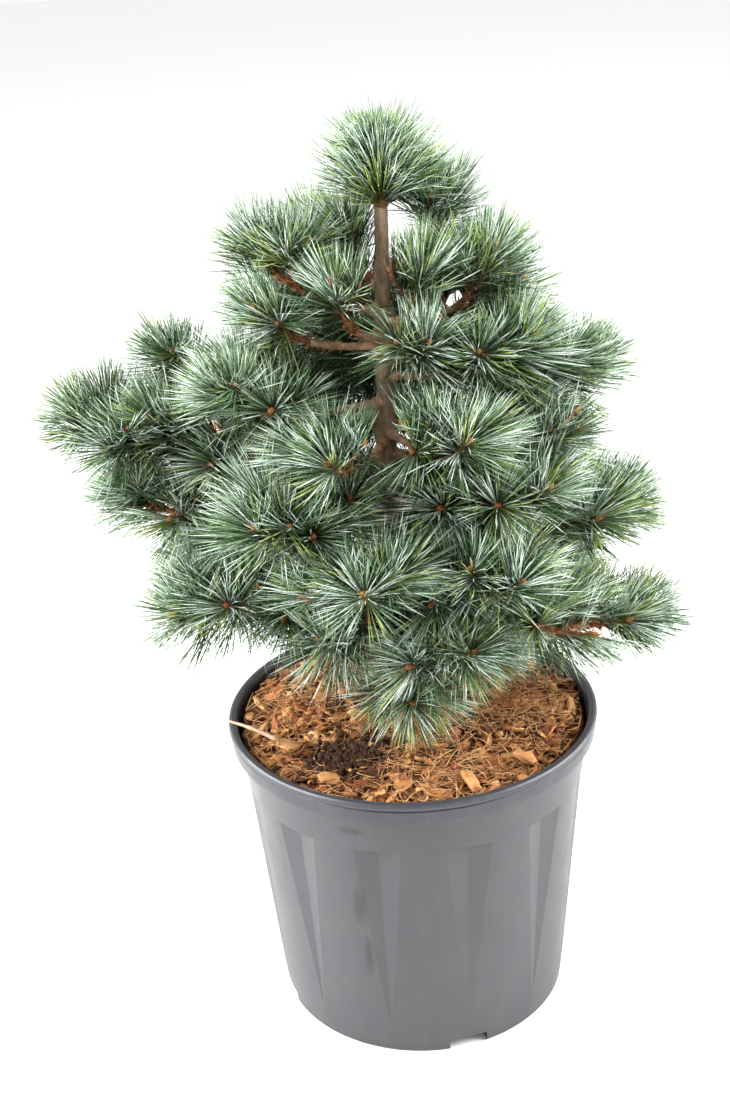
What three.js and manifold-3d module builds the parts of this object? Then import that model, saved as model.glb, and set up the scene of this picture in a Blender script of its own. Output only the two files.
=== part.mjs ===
// Potted japanese white pine in a fluted nursery pot.
// Millimetres, +Z up. The origin is the middle of the pot's flat underside.
// +Y points to the back of the plant, so azimuth 270 degrees is its front.

import * as THREE from "three";
import { mergeVertices } from "three/addons/utils/BufferGeometryUtils.js";
import { ConvexGeometry } from "three/addons/geometries/ConvexGeometry.js";
import Module from "manifold-3d";

const wasm = await Module();
wasm.setup();

// Clearance between neighbouring pieces, and the distance at which vertices count as one
const SEAT_GAP = 0.3;
const MERGE_DISTANCE = 1e-3;

// Pot
const POT_SIDES = 48;
const BASE_RADIUS = 100.8;
const COLLAR_RADIUS = 119.3;
const COLLAR_HEIGHT = 202.4;
const BAND_RADIUS = 125.8;
const BAND_STEP = 0.8;
const RIM_RADIUS = 126.4;
const RIM_HEIGHT = 218;
const LIP_ROUND = 1.6;
const LIP_WIDTH = 7.6;
const FLOOR_HEIGHT = 11;
const WALL = 6.8;
const LIP_WALL = 1.2;

// Flutes in the pot's side
const FLUTE_COUNT = 12;
const FLUTE_TOP = 174.5;
const FLUTE_FOOT = 22;
const FLUTE_HALF_ANGLE = 7.75;
const FLUTE_DEPTH = 4;
const FLUTE_OVERSHOOT = 1.6;
const FLUTE_FOOT_OVERSHOOT = 1.04;

// Drain notches in the pot's foot
const NOTCH_COUNT = 4;
const NOTCH_AZIMUTH = 15;
const NOTCH_WIDTH = 27;
const NOTCH_HEIGHT = 8.5;
const NOTCH_DEPTH = 15;
const NOTCH_OVERSHOOT = 6;

// Soil
const SOIL_EDGE_HEIGHT = 208.5;
const SOIL_TOP = 214;
const SOIL_FLAT_RADIUS = 26;

// Trunk
const TRUNK_FOOT = new THREE.Vector3(-11, 0, SOIL_TOP + SEAT_GAP);
const TRUNK_WAIST = new THREE.Vector3(-9.5, 1, 390.15);
const TRUNK_TIP = new THREE.Vector3(-4.5, 0, 566);
const TRUNK_SIDES = 10;
const TRUNK_STEPS = 9;
const TRUNK_CROWDING = 1.3;
const TRUNK_FOOT_RADIUS = 8.2;
const TRUNK_TIP_RADIUS = 4.2;
const FLARE = 5;
const FLARE_HEIGHT = 16;

// Limbs: each is a curve from the trunk's middle to its leading bud
const KNEE_SHARE = 0.76;
const KNEE_RISE = 0.12;
const LIMB_ROOT_RADIUS = 1.7;
const LIMB_STOUTNESS = 0.0105;
const LIMB_TIP_RADIUS = 1.8;
const LIMB_SIDES = 6;
const BOUGH_STEPS = 4;
const STEM_STEPS = 3;
const CLEARANCE_STEPS = 12;
const LEAFY_SHARE = 0.64;
const LEAFY_MOST = 148;

// Shoots: the end of each stem, and side shoots at its nodes
const LEAD_LENGTH = 42;
const LEADER_LENGTH = 44;
const LEADER_NECK = 4;
const LEADER_LEAN = -2.5;
const NODE_STEP = 36;
const NODE_GAP = 5;
const SIDE_SPREAD = [44, 58];
const SIDE_LIFT = [0, 52];
const SIDE_LENGTH = [36, 46];
const SIDE_LENGTHENING = 6;
const SIDE_TRIES = 4;
const NECK_RADIUS = 1.6;
const CORE_RADIUS = 2.9;
const LIMB_CLEAR = 9;
const TRUNK_CLEAR = 13;
const SHOOT_CLEAR = 13;
const TIP_CLEAR = 30;

// Needles: each shoot's core has bands of faces, and a needle stands on each face
const CORE = { sides: 4, bands: 3 };
const LEADER_CORE = { sides: 6, bands: 4 };
const CORE_END = 0.94;
const NECK_SHARE = 0.16;
const NEEDLE_LENGTH = [49, 40];
const NEEDLE_VARIATION = [0.95, 1.04];
const TIP_NEEDLE_LENGTH = 34;
const LEADER_TIP_NEEDLE = 18;
const NEEDLE_SPLAY = [74, 46];
const LEAST_NEEDLE = 12;
const NEEDLE_SAMPLES = 14;
const FIRST_SAMPLE = 2;
const CELL_CLEAR = 3.4;
const NEEDLE_CLEAR = 2.2;
const SEED = 20731;

// The limbs by tier, from the crest down: azimuth in degrees, fork height on the
// trunk, reach and height of the leading bud, shoots, side of the first side shoot
const LIMBS = [
  { name: "crest_right", azimuth: 17, fork: 526, reach: 47, bud: 571, shoots: 1, first: -1 },
  { name: "crest_left", azimuth: 161, fork: 516, reach: 25, bud: 555, shoots: 1, first: 1 },
  { name: "upper_left", azimuth: 186, fork: 500, reach: 79, bud: 554, shoots: 2, first: -1, bough: true },
  { name: "upper_right", azimuth: 336, fork: 488, reach: 75, bud: 543, shoots: 2, first: 1 },
  { name: "upper_far_right", azimuth: 1, fork: 480, reach: 88, bud: 516, shoots: 2, first: -1 },
  { name: "upper_back", azimuth: 125, fork: 500, reach: 76, bud: 540, shoots: 2, first: -1 },
  { name: "face_left", azimuth: 240, fork: 484, reach: 60, bud: 533, shoots: 1, first: -1 },
  { name: "face_right", azimuth: 296, fork: 494, reach: 54, bud: 537, shoots: 1, first: 1 },
  { name: "face_middle", azimuth: 289, fork: 474, reach: 76, bud: 500, shoots: 1, first: 1 },
  { name: "third_left", azimuth: 204, fork: 478, reach: 83, bud: 515, shoots: 1, first: 1, bough: true },
  { name: "third_right", azimuth: 328, fork: 458, reach: 104, bud: 494, shoots: 4, first: 1 },
  { name: "third_back_right", azimuth: 48, fork: 466, reach: 108, bud: 506, shoots: 4, first: 1 },
  { name: "third_back_left", azimuth: 134, fork: 466, reach: 110, bud: 506, shoots: 4, first: 1 },
  { name: "second_left", azimuth: 212, fork: 440, reach: 122, bud: 476, shoots: 5, first: 1, bough: true },
  { name: "second_far_left", azimuth: 170, fork: 430, reach: 146, bud: 475, shoots: 1, first: 1, bough: true },
  { name: "second_far_right", azimuth: 4, fork: 424, reach: 140, bud: 458, shoots: 5, first: 1, bough: true },
  { name: "second_face", azimuth: 293, fork: 420, reach: 116, bud: 450, shoots: 4, first: 1 },
  { name: "second_right", azimuth: 336, fork: 404, reach: 128, bud: 432, shoots: 5, first: 1, bough: true },
  { name: "second_face_left", azimuth: 252, fork: 414, reach: 114, bud: 442, shoots: 4, first: 1 },
  { name: "second_back", azimuth: 88, fork: 426, reach: 140, bud: 448, shoots: 6, first: 1, bough: true },
  { name: "second_back_left", azimuth: 122, fork: 418, reach: 114, bud: 436, shoots: 5, first: 1 },
  { name: "arm_left", azimuth: 182, fork: 396, reach: 198, bud: 448, shoots: 7, first: 1, bough: true },
  { name: "first_left", azimuth: 188, fork: 362, reach: 172, bud: 396, shoots: 5, first: 1, bough: true },
  { name: "first_right", azimuth: 352, fork: 346, reach: 158, bud: 368, shoots: 6, first: 1, bough: true },
  { name: "first_face_right", azimuth: 314, fork: 374, reach: 134, bud: 414, shoots: 4, first: 1 },
  { name: "first_face_left", azimuth: 232, fork: 366, reach: 132, bud: 402, shoots: 5, first: 1, bough: true },
  { name: "first_back_right", azimuth: 40, fork: 362, reach: 154, bud: 386, shoots: 6, first: 1, bough: true },
  { name: "first_back_left", azimuth: 138, fork: 368, reach: 154, bud: 390, shoots: 6, first: 1, bough: true },
  { name: "base_face", azimuth: 262, fork: 336, reach: 136, bud: 370, shoots: 4, first: 1, bough: true },
  { name: "base_face_right", azimuth: 301, fork: 326, reach: 144, bud: 366, shoots: 5, first: 1, bough: true },
  { name: "base_left", azimuth: 211, fork: 320, reach: 158, bud: 338, shoots: 6, first: 1, bough: true },
  { name: "base_low_right", azimuth: 292, fork: 288, reach: 122, bud: 316, shoots: 4, first: 1 },
  { name: "base_low_left", azimuth: 246, fork: 298, reach: 114, bud: 326, shoots: 3, first: 1 },
  { name: "base_front", azimuth: 275, fork: 262, reach: 94, bud: 272, shoots: 1, first: -1 },
  { name: "base_right", azimuth: 322, fork: 302, reach: 154, bud: 314, shoots: 4, first: 1 },
  { name: "base_far_right", azimuth: 356, fork: 266, reach: 178, bud: 288, shoots: 4, first: 1, bough: true },
  { name: "base_back", azimuth: 82, fork: 306, reach: 148, bud: 322, shoots: 6, first: 1 },
  { name: "base_back_left", azimuth: 158, fork: 296, reach: 152, bud: 312, shoots: 5, first: 1 },
  { name: "base_back_right", azimuth: 28, fork: 290, reach: 150, bud: 300, shoots: 5, first: 1 },
];

const UP = new THREE.Vector3(0, 0, 1);
const radians = THREE.MathUtils.degToRad;
const lerp = THREE.MathUtils.lerp;

// Colours and finish
const material = (color, roughness) => new THREE.MeshStandardMaterial({ color, roughness, metalness: 0 });
const POT_PLASTIC = material("#5f6062", 0.45);
const MULCH = material("#8a5a34", 0.95);
const BARK = material("#77593f", 0.9);
const FOLIAGE = material("#6f8a78", 0.7);

// A repeatable run of numbers between 0 and 1
const RANDOM_FACTOR = 48271;
const RANDOM_MODULUS = 2147483647;

class SeededNumbers {
  constructor(seed) {
    this.state = seed;
  }
  next() {
    this.state = (this.state * RANDOM_FACTOR) % RANDOM_MODULUS;
    return this.state / RANDOM_MODULUS;
  }
  between([low, high]) {
    return low + (high - low) * this.next();
  }
}

// Solids
function toSolid(geometry) {
  geometry.deleteAttribute("normal");
  geometry.deleteAttribute("uv");
  const merged = mergeVertices(geometry, MERGE_DISTANCE);
  const vertProperties = new Float32Array(merged.attributes.position.array);
  const triVerts = new Uint32Array(merged.index.array);
  return new wasm.Manifold(new wasm.Mesh({ numProp: 3, vertProperties, triVerts }));
}

function toGeometry(solid) {
  const mesh = solid.getMesh();
  const geometry = new THREE.BufferGeometry();
  geometry.setAttribute("position", new THREE.BufferAttribute(mesh.vertProperties, mesh.numProp));
  geometry.setIndex(new THREE.BufferAttribute(mesh.triVerts, 1));
  return geometry;
}

function fuse(solids) {
  return solids.reduce((whole, piece) => whole.add(piece));
}

function turned(profile) {
  const points = profile.map(([radius, height]) => new THREE.Vector2(radius, height));
  const halfSide = Math.PI / POT_SIDES;
  return new THREE.LatheGeometry(points, POT_SIDES, halfSide).rotateX(Math.PI / 2);
}

// A direction that is safely not parallel to the given one
function sideReference(along) {
  return Math.abs(along.z) > 0.8 ? new THREE.Vector3(0, 1, 0) : UP;
}

// A closed tube through some points, with a radius at each: a cylinder bent into place
function limbGeometry(points, radii, sides) {
  const steps = points.length - 1;
  const geometry = new THREE.CylinderGeometry(1, 1, 1, sides, steps);
  const position = geometry.attributes.position;
  const vertex = new THREE.Vector3();
  for (let i = 0; i < position.count; i += 1) {
    vertex.fromBufferAttribute(position, i);
    const ring = Math.round((vertex.y + 0.5) * steps);
    const ahead = points[Math.min(ring + 1, steps)];
    const behind = points[Math.max(ring - 1, 0)];
    const along = ahead.clone().sub(behind).normalize();
    const across = sideReference(along).clone().cross(along).normalize();
    const third = across.clone().cross(along);
    const place = points[ring].clone();
    place.addScaledVector(across, vertex.x * radii[ring]);
    place.addScaledVector(third, vertex.z * radii[ring]);
    position.setXYZ(i, place.x, place.y, place.z);
  }
  return geometry;
}

// Pot
function wallRadius(height) {
  return lerp(BASE_RADIUS, COLLAR_RADIUS, height / COLLAR_HEIGHT);
}

function ringPoint(radius, azimuth, height) {
  const turn = radians(azimuth);
  return new THREE.Vector3(radius * Math.cos(turn), radius * Math.sin(turn), height);
}

function flute(azimuth) {
  const inner = ringPoint(wallRadius(FLUTE_TOP) - FLUTE_DEPTH, azimuth, FLUTE_TOP);
  const foot = ringPoint(wallRadius(FLUTE_FOOT), azimuth, FLUTE_FOOT);
  const corners = [inner, inner.clone().lerp(foot, FLUTE_FOOT_OVERSHOOT)];
  for (const side of [-1, 1]) {
    const edge = ringPoint(wallRadius(FLUTE_TOP), azimuth + side * FLUTE_HALF_ANGLE, FLUTE_TOP);
    corners.push(inner.clone().lerp(edge, FLUTE_OVERSHOOT));
  }
  return toSolid(new ConvexGeometry(corners));
}

function drainNotch(azimuth) {
  const box = new THREE.BoxGeometry(NOTCH_DEPTH + NOTCH_OVERSHOOT, NOTCH_WIDTH, NOTCH_HEIGHT * 2);
  box.translate(BASE_RADIUS - (NOTCH_DEPTH - NOTCH_OVERSHOOT) / 2, 0, 0);
  box.rotateZ(radians(azimuth));
  return toSolid(box);
}

function potGeometry() {
  const lipInner = RIM_RADIUS - LIP_WIDTH;
  const shell = turned([
    [0, 0],
    [BASE_RADIUS, 0],
    [COLLAR_RADIUS, COLLAR_HEIGHT],
    [BAND_RADIUS, COLLAR_HEIGHT + BAND_STEP],
    [RIM_RADIUS, RIM_HEIGHT - LIP_ROUND],
    [RIM_RADIUS - LIP_ROUND, RIM_HEIGHT],
    [lipInner + LIP_ROUND, RIM_HEIGHT],
    [lipInner, RIM_HEIGHT - LIP_ROUND],
    [COLLAR_RADIUS - LIP_WALL, COLLAR_HEIGHT],
    [wallRadius(FLUTE_TOP) - WALL, FLUTE_TOP],
    [wallRadius(FLOOR_HEIGHT) - WALL, FLOOR_HEIGHT],
    [0, FLOOR_HEIGHT],
  ]);
  let pot = toSolid(shell);
  for (let i = 0; i < FLUTE_COUNT; i += 1) {
    pot = pot.subtract(flute((i + 0.5) * (360 / FLUTE_COUNT)));
  }
  for (let i = 0; i < NOTCH_COUNT; i += 1) {
    pot = pot.subtract(drainNotch(NOTCH_AZIMUTH + i * (360 / NOTCH_COUNT)));
  }
  return toGeometry(pot);
}

// Soil, filling the pot to a little below its rim
function soilGeometry() {
  const lipHeight = RIM_HEIGHT - LIP_ROUND;
  const share = (SOIL_EDGE_HEIGHT - COLLAR_HEIGHT) / (lipHeight - COLLAR_HEIGHT);
  const collarInner = COLLAR_RADIUS - LIP_WALL;
  return turned([
    [0, FLOOR_HEIGHT + SEAT_GAP],
    [wallRadius(FLOOR_HEIGHT) - WALL - SEAT_GAP, FLOOR_HEIGHT + SEAT_GAP],
    [wallRadius(FLUTE_TOP) - WALL - SEAT_GAP, FLUTE_TOP],
    [collarInner - SEAT_GAP, COLLAR_HEIGHT],
    [lerp(collarInner, RIM_RADIUS - LIP_WIDTH, share) - SEAT_GAP, SOIL_EDGE_HEIGHT],
    [SOIL_FLAT_RADIUS, SOIL_TOP],
    [0, SOIL_TOP],
  ]);
}

// Trunk
const TRUNK_CURVE = new THREE.QuadraticBezierCurve3(TRUNK_FOOT, TRUNK_WAIST, TRUNK_TIP);

function trunkAxis(height) {
  const share = (height - TRUNK_FOOT.z) / (TRUNK_TIP.z - TRUNK_FOOT.z);
  return TRUNK_CURVE.getPoint(share);
}

function trunkRadius(height) {
  const share = (height - TRUNK_FOOT.z) / (TRUNK_TIP.z - TRUNK_FOOT.z);
  const flare = FLARE * Math.exp(-(height - TRUNK_FOOT.z) / FLARE_HEIGHT);
  return lerp(TRUNK_FOOT_RADIUS, TRUNK_TIP_RADIUS, share) + flare;
}

function trunkGeometry(clearance = 0) {
  const points = [];
  const radii = [];
  for (let i = 0; i <= TRUNK_STEPS; i += 1) {
    const share = (i / TRUNK_STEPS) ** TRUNK_CROWDING;
    const point = TRUNK_CURVE.getPoint(share);
    points.push(point);
    radii.push(trunkRadius(point.z) + clearance);
  }
  return limbGeometry(points, radii, TRUNK_SIDES);
}

// Limbs
function limbRadius(limb, along) {
  const root = limb.leader ? TRUNK_TIP_RADIUS : LIMB_ROOT_RADIUS + LIMB_STOUTNESS * limb.length;
  return lerp(root, LIMB_TIP_RADIUS, along / limb.length);
}

function pointsAlong(limb, from, to, steps) {
  const points = [];
  for (let i = 0; i <= steps; i += 1) {
    points.push(limb.curve.getPointAt(lerp(from, to, i / steps) / limb.length));
  }
  return points;
}

function segmentsOf(points) {
  return points.slice(1).map((end, i) => [points[i], end]);
}

function planLimb(row) {
  const outward = ringPoint(1, row.azimuth, 0);
  const root = trunkAxis(row.fork);
  const knee = root.clone().addScaledVector(outward, KNEE_SHARE * row.reach);
  knee.z += KNEE_RISE * (row.bud - row.fork);
  const bud = root.clone().addScaledVector(outward, row.reach);
  bud.z = row.bud;
  const curve = new THREE.QuadraticBezierCurve3(root, knee, bud);
  const length = curve.getLength();
  const leafy = Math.min(LEAFY_SHARE * length, LEAFY_MOST);
  const limb = { ...row, curve, length, leafy };
  limb.segments = segmentsOf(pointsAlong(limb, 0, length, CLEARANCE_STEPS));
  return limb;
}

function planLeader() {
  const bud = TRUNK_TIP.clone().add(new THREE.Vector3(LEADER_LEAN, 0, LEADER_LENGTH));
  const middle = TRUNK_TIP.clone().addScaledVector(TRUNK_CURVE.getTangent(1), LEADER_LENGTH / 2);
  const curve = new THREE.QuadraticBezierCurve3(TRUNK_TIP, middle, bud);
  const length = curve.getLength();
  const limb = { name: "leader", curve, length, leafy: length, shoots: 1, leader: true };
  limb.segments = segmentsOf(pointsAlong(limb, 0, length, CLEARANCE_STEPS));
  return limb;
}

// Shortest distance between two segments
function segmentGap([p1, q1], [p2, q2]) {
  const d1 = q1.clone().sub(p1);
  const d2 = q2.clone().sub(p2);
  const r = p1.clone().sub(p2);
  const a = d1.dot(d1);
  const e = d2.dot(d2);
  const f = d2.dot(r);
  const c = d1.dot(r);
  const b = d1.dot(d2);
  const denominator = a * e - b * b;
  const clamp = THREE.MathUtils.clamp;
  let s = denominator > 1e-9 ? clamp((b * f - c * e) / denominator, 0, 1) : 0;
  let t = (b * s + f) / e;
  if (t < 0) {
    t = 0;
    s = clamp(-c / a, 0, 1);
  } else if (t > 1) {
    t = 1;
    s = clamp((b - c) / a, 0, 1);
  }
  return p1.clone().addScaledVector(d1, s).distanceTo(p2.clone().addScaledVector(d2, t));
}

function pointGap(point, segments) {
  let least = Infinity;
  const nearest = new THREE.Vector3();
  const line = new THREE.Line3();
  for (const [start, end] of segments) {
    line.set(start, end);
    line.closestPointToPoint(point, true, nearest);
    least = Math.min(least, nearest.distanceTo(point));
  }
  return least;
}

// One try at a side shoot, which leaves the limb to its left or right
function sideShoot(limb, index, random) {
  const node = Math.floor(index / 2);
  const start = LEAD_LENGTH + NODE_GAP * (1 + index % 2) + NODE_STEP * node;
  const share = 1 - Math.min(start, limb.leafy - NODE_GAP) / limb.length;
  const base = limb.curve.getPointAt(share);
  const along = limb.curve.getTangentAt(share);
  const side = limb.first * (index % 2 === 0 ? 1 : -1);
  const spread = radians(random.between(SIDE_SPREAD));
  const lift = radians(random.between(SIDE_LIFT));
  const length = random.between(SIDE_LENGTH) + SIDE_LENGTHENING * node;
  const lateral = along.clone().cross(UP).normalize();
  const upward = lateral.clone().cross(along).normalize();
  const sideways = lateral.clone().multiplyScalar(side * Math.cos(lift));
  sideways.addScaledVector(upward, Math.sin(lift));
  const direction = along.clone().multiplyScalar(Math.cos(spread));
  direction.addScaledVector(sideways, Math.sin(spread)).normalize();
  return { base, tip: base.clone().addScaledVector(direction, length) };
}

// Shoots: the lead of each limb, then its side shoots, which alternate left and right
function planShoots(limbs, random) {
  const shoots = limbs.map((limb) => {
    const base = limb.curve.getPointAt((limb.length - leadLength(limb)) / limb.length);
    return { limb, base, tip: limb.curve.getPointAt(1), lead: true };
  });
  const trunkSegment = [TRUNK_FOOT, TRUNK_TIP];
  const isFree = (base, tip, limb) => {
    const shoot = [base, tip];
    if (segmentGap(shoot, trunkSegment) < TRUNK_CLEAR) return false;
    for (const other of limbs) {
      if (other !== limb && other.segments.some((part) => segmentGap(shoot, part) < LIMB_CLEAR)) return false;
    }
    for (const other of shoots) {
      if (other.tip.distanceTo(tip) < TIP_CLEAR) return false;
      const apart = other.lead || other.limb === limb;
      if (!apart && segmentGap(shoot, [other.base, other.tip]) < SHOOT_CLEAR) return false;
    }
    return true;
  };
  for (const limb of limbs) {
    for (let i = 0; i < limb.shoots - 1; i += 1) {
      for (let attempt = 0; attempt < SIDE_TRIES; attempt += 1) {
        const { base, tip } = sideShoot(limb, i, random);
        if (isFree(base, tip, limb)) {
          shoots.push({ limb, base, tip, lead: false });
          break;
        }
      }
    }
  }
  return shoots;
}

// The free length of a needle: it stays in its shoot's own space and touches no limb
function freeLength(root, direction, length, own, others, wood) {
  let free = 0;
  for (let i = FIRST_SAMPLE; i <= NEEDLE_SAMPLES; i += 1) {
    const reach = (length * i) / NEEDLE_SAMPLES;
    const point = root.clone().addScaledVector(direction, reach);
    const blocked =
      pointGap(point, others) - pointGap(point, own) < CELL_CLEAR ||
      wood.some((limb) => pointGap(point, limb.segments) < limb.radius + NEEDLE_CLEAR) ||
      meetsPot(point);
    if (blocked) break;
    free = reach;
  }
  return free;
}

function meetsPot(point) {
  const radius = Math.hypot(point.x, point.y);
  if (radius > RIM_RADIUS + NEEDLE_CLEAR) return false;
  const surface = radius > RIM_RADIUS - LIP_WIDTH - NEEDLE_CLEAR ? RIM_HEIGHT : SOIL_TOP;
  return point.z < surface + NEEDLE_CLEAR;
}

// One shoot: a bare foot, then a slim core in twisted bands with a needle on each face
function shootSolid(shoot, foot, others, wood, random) {
  const { sides, bands } = shoot.limb.leader ? LEADER_CORE : CORE;
  const along = shoot.tip.clone().sub(shoot.base).normalize();
  const reference = sideReference(along);
  const start = random.between([0, 360]);
  const own = [[shoot.base, shoot.tip]];
  const vertices = [];
  const triangles = [];
  const addVertex = (point) => vertices.push(point) - 1;

  const leafyStart = foot.points.at(-1);
  const axis = foot.points.slice();
  const radii = foot.radii.slice();
  for (let band = 1; band <= bands; band += 1) {
    axis.push(leafyStart.clone().lerp(shoot.tip, (CORE_END * band) / bands));
    radii.push(lerp(CORE_RADIUS, LIMB_TIP_RADIUS, (band - 1) / (bands - 1)));
  }
  const rings = axis.map((centre, i) => {
    const ahead = axis[Math.min(i + 1, axis.length - 1)];
    const behind = axis[Math.max(i - 1, 0)];
    const heading = ahead.clone().sub(behind).normalize();
    const across = heading.clone().cross(reference).normalize();
    const third = heading.clone().cross(across);
    return Array.from({ length: sides }, (_, side) => {
      const turn = radians(start + ((side + i / 2) * 360) / sides);
      const point = centre.clone().addScaledVector(across, radii[i] * Math.cos(turn));
      return addVertex(point.addScaledVector(third, radii[i] * Math.sin(turn)));
    });
  });

  for (let side = 2; side < sides; side += 1) {
    triangles.push([rings[0][0], rings[0][side], rings[0][side - 1]]);
  }
  for (let i = 0; i < rings.length - 1; i += 1) {
    const band = i - (foot.points.length - 1);
    const share = band / (bands - 1);
    const splay = radians(lerp(...NEEDLE_SPLAY, share));
    for (let side = 0; side < sides; side += 1) {
      const next = (side + 1) % sides;
      const face = [rings[i][side], rings[i][next], rings[i + 1][next], rings[i + 1][side]];
      let free = 0;
      const root = new THREE.Vector3();
      const direction = along.clone().multiplyScalar(Math.cos(splay));
      if (band >= 0) {
        face.forEach((index) => root.addScaledVector(vertices[index], 0.25));
        const outward = root.clone().sub(axis[i].clone().lerp(axis[i + 1], 0.5)).normalize();
        direction.addScaledVector(outward, Math.sin(splay));
        const length = lerp(...NEEDLE_LENGTH, share) * random.between(NEEDLE_VARIATION);
        free = freeLength(root, direction, length, own, others, wood);
      }
      if (free < LEAST_NEEDLE) {
        triangles.push([face[0], face[1], face[2]], [face[0], face[2], face[3]]);
      } else {
        const apex = addVertex(root.addScaledVector(direction, free));
        face.forEach((index, corner) => triangles.push([index, face[(corner + 1) % 4], apex]));
      }
    }
  }
  const tipLength = shoot.limb.leader ? LEADER_TIP_NEEDLE : TIP_NEEDLE_LENGTH;
  const free = freeLength(shoot.tip, along, tipLength, own, others, wood);
  const apex = addVertex(shoot.tip.clone().addScaledVector(along, free));
  for (let side = 0; side < sides; side += 1) {
    triangles.push([rings.at(-1)[side], rings.at(-1)[(side + 1) % sides], apex]);
  }
  const geometry = new THREE.BufferGeometry().setFromPoints(vertices);
  geometry.setIndex(triangles.flat());
  return toSolid(geometry);
}

// The bare wood below a shoot's needles: the stem of a lead, or a side shoot's short neck
function shootFoot(shoot) {
  const { limb } = shoot;
  if (!shoot.lead) {
    const neck = shoot.base.clone().lerp(shoot.tip, NECK_SHARE);
    return { points: [shoot.base, neck], radii: [NECK_RADIUS, NECK_RADIUS] };
  }
  const from = stemStart(limb);
  const to = limb.length - leadLength(limb);
  const steps = limb.leader ? 1 : STEM_STEPS;
  const points = pointsAlong(limb, from, to, steps);
  const radii = points.map((point, i) => limbRadius(limb, lerp(from, to, i / steps)));
  return { points, radii };
}

function leadLength(limb) {
  return Math.min(LEAD_LENGTH, limb.length - LEADER_NECK);
}

function stemStart(limb) {
  if (limb.leader) return SEAT_GAP;
  return limb.bough ? limb.length - limb.leafy + SEAT_GAP : 0;
}

// One mass: its stem with its lead, and its side shoots, fused
function massGeometry(limb, shoots, limbs, wood, random, trunkCutter) {
  const stems = limbs.flatMap((other) => other.stemSegments);
  const solids = [];
  for (const shoot of shoots.filter((each) => each.limb === limb)) {
    const others = shoots.filter((each) => each !== shoot).map((each) => [each.base, each.tip]);
    solids.push(shootSolid(shoot, shootFoot(shoot), [...others, ...stems], wood, random));
  }
  const mass = fuse(solids);
  return toGeometry(limb.bough || limb.leader ? mass : mass.subtract(trunkCutter));
}

function boughGeometry(limb, trunkCutter) {
  const end = limb.length - limb.leafy;
  const points = pointsAlong(limb, 0, end, BOUGH_STEPS);
  const radii = points.map((point, i) => limbRadius(limb, (end * i) / BOUGH_STEPS));
  return toGeometry(toSolid(limbGeometry(points, radii, LIMB_SIDES)).subtract(trunkCutter));
}

// The whole plant in its pot
function buildPlant() {
  const group = new THREE.Group();
  const addPiece = (name, geometry, finish) => {
    const mesh = new THREE.Mesh(geometry, finish);
    mesh.name = name;
    group.add(mesh);
  };
  addPiece("pot", potGeometry(), POT_PLASTIC);
  addPiece("soil", soilGeometry(), MULCH);
  addPiece("trunk", trunkGeometry(), BARK);

  const limbs = [planLeader(), ...LIMBS.map(planLimb)];
  for (const limb of limbs) {
    const leadStart = limb.length - leadLength(limb);
    limb.stemSegments = segmentsOf(pointsAlong(limb, stemStart(limb), leadStart, CLEARANCE_STEPS / 2));
  }
  const shoots = planShoots(limbs, new SeededNumbers(SEED));

  const trunkCutter = toSolid(trunkGeometry(SEAT_GAP));
  const boughs = limbs.filter((limb) => limb.bough);
  const wood = boughs.map((limb) => {
    const segments = segmentsOf(pointsAlong(limb, 0, limb.length - limb.leafy, CLEARANCE_STEPS));
    return { radius: limbRadius(limb, 0), segments };
  });
  wood.push({ radius: TRUNK_FOOT_RADIUS, segments: segmentsOf(TRUNK_CURVE.getPoints(CLEARANCE_STEPS)) });

  for (const limb of boughs) {
    addPiece(`bough_${limb.name}`, boughGeometry(limb, trunkCutter), BARK);
  }
  const needleNumbers = new SeededNumbers(SEED + 1);
  for (const limb of limbs) {
    const geometry = massGeometry(limb, shoots, limbs, wood, needleNumbers, trunkCutter);
    addPiece(`needles_${limb.name}`, geometry, FOLIAGE);
  }
  return group;
}

export default buildPlant();
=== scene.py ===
# Potted japanese white pine in a fluted nursery pot, dressed for rendering.
# Metres, +Z up. The plant is grown in millimetres by the same rule as its solids.

import math

import bmesh
import bpy
import numpy as np
from mathutils import Matrix, Vector


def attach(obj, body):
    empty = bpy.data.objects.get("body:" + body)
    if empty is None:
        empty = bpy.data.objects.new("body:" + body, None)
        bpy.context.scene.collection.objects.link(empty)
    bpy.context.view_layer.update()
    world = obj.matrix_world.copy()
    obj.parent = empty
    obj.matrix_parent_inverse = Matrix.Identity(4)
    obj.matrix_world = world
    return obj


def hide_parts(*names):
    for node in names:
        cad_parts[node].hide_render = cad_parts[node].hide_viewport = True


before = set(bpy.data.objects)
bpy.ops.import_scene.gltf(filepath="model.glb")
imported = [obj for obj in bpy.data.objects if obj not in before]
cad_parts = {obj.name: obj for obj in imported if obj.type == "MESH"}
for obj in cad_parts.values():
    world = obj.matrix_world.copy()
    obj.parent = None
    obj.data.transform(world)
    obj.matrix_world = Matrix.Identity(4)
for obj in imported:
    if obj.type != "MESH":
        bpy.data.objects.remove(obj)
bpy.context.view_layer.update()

MASS_NODES = sorted(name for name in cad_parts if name.startswith("needles_"))
BOUGH_NODES = sorted(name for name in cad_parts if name.startswith("bough_"))

MM = 0.001
FULL_TURN = 2 * math.pi
# How unequal things of one kind are in size
UNEVEN = (0.85, 1.15)
# How many sides thin strands have, and from what rise a heading counts as steep
THIN_SIDES = 3
STEEP = 0.8

# Viewpoint: the eye in metres, its turns in degrees, its lens in millimetres, its depth of view in metres
EYE = (-0.0261, -1.049, 0.820)
LOOK_DOWN = 24.65
ROLL = 3.31
LENS = 57.35
VIEW_DEPTH = 50

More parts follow.
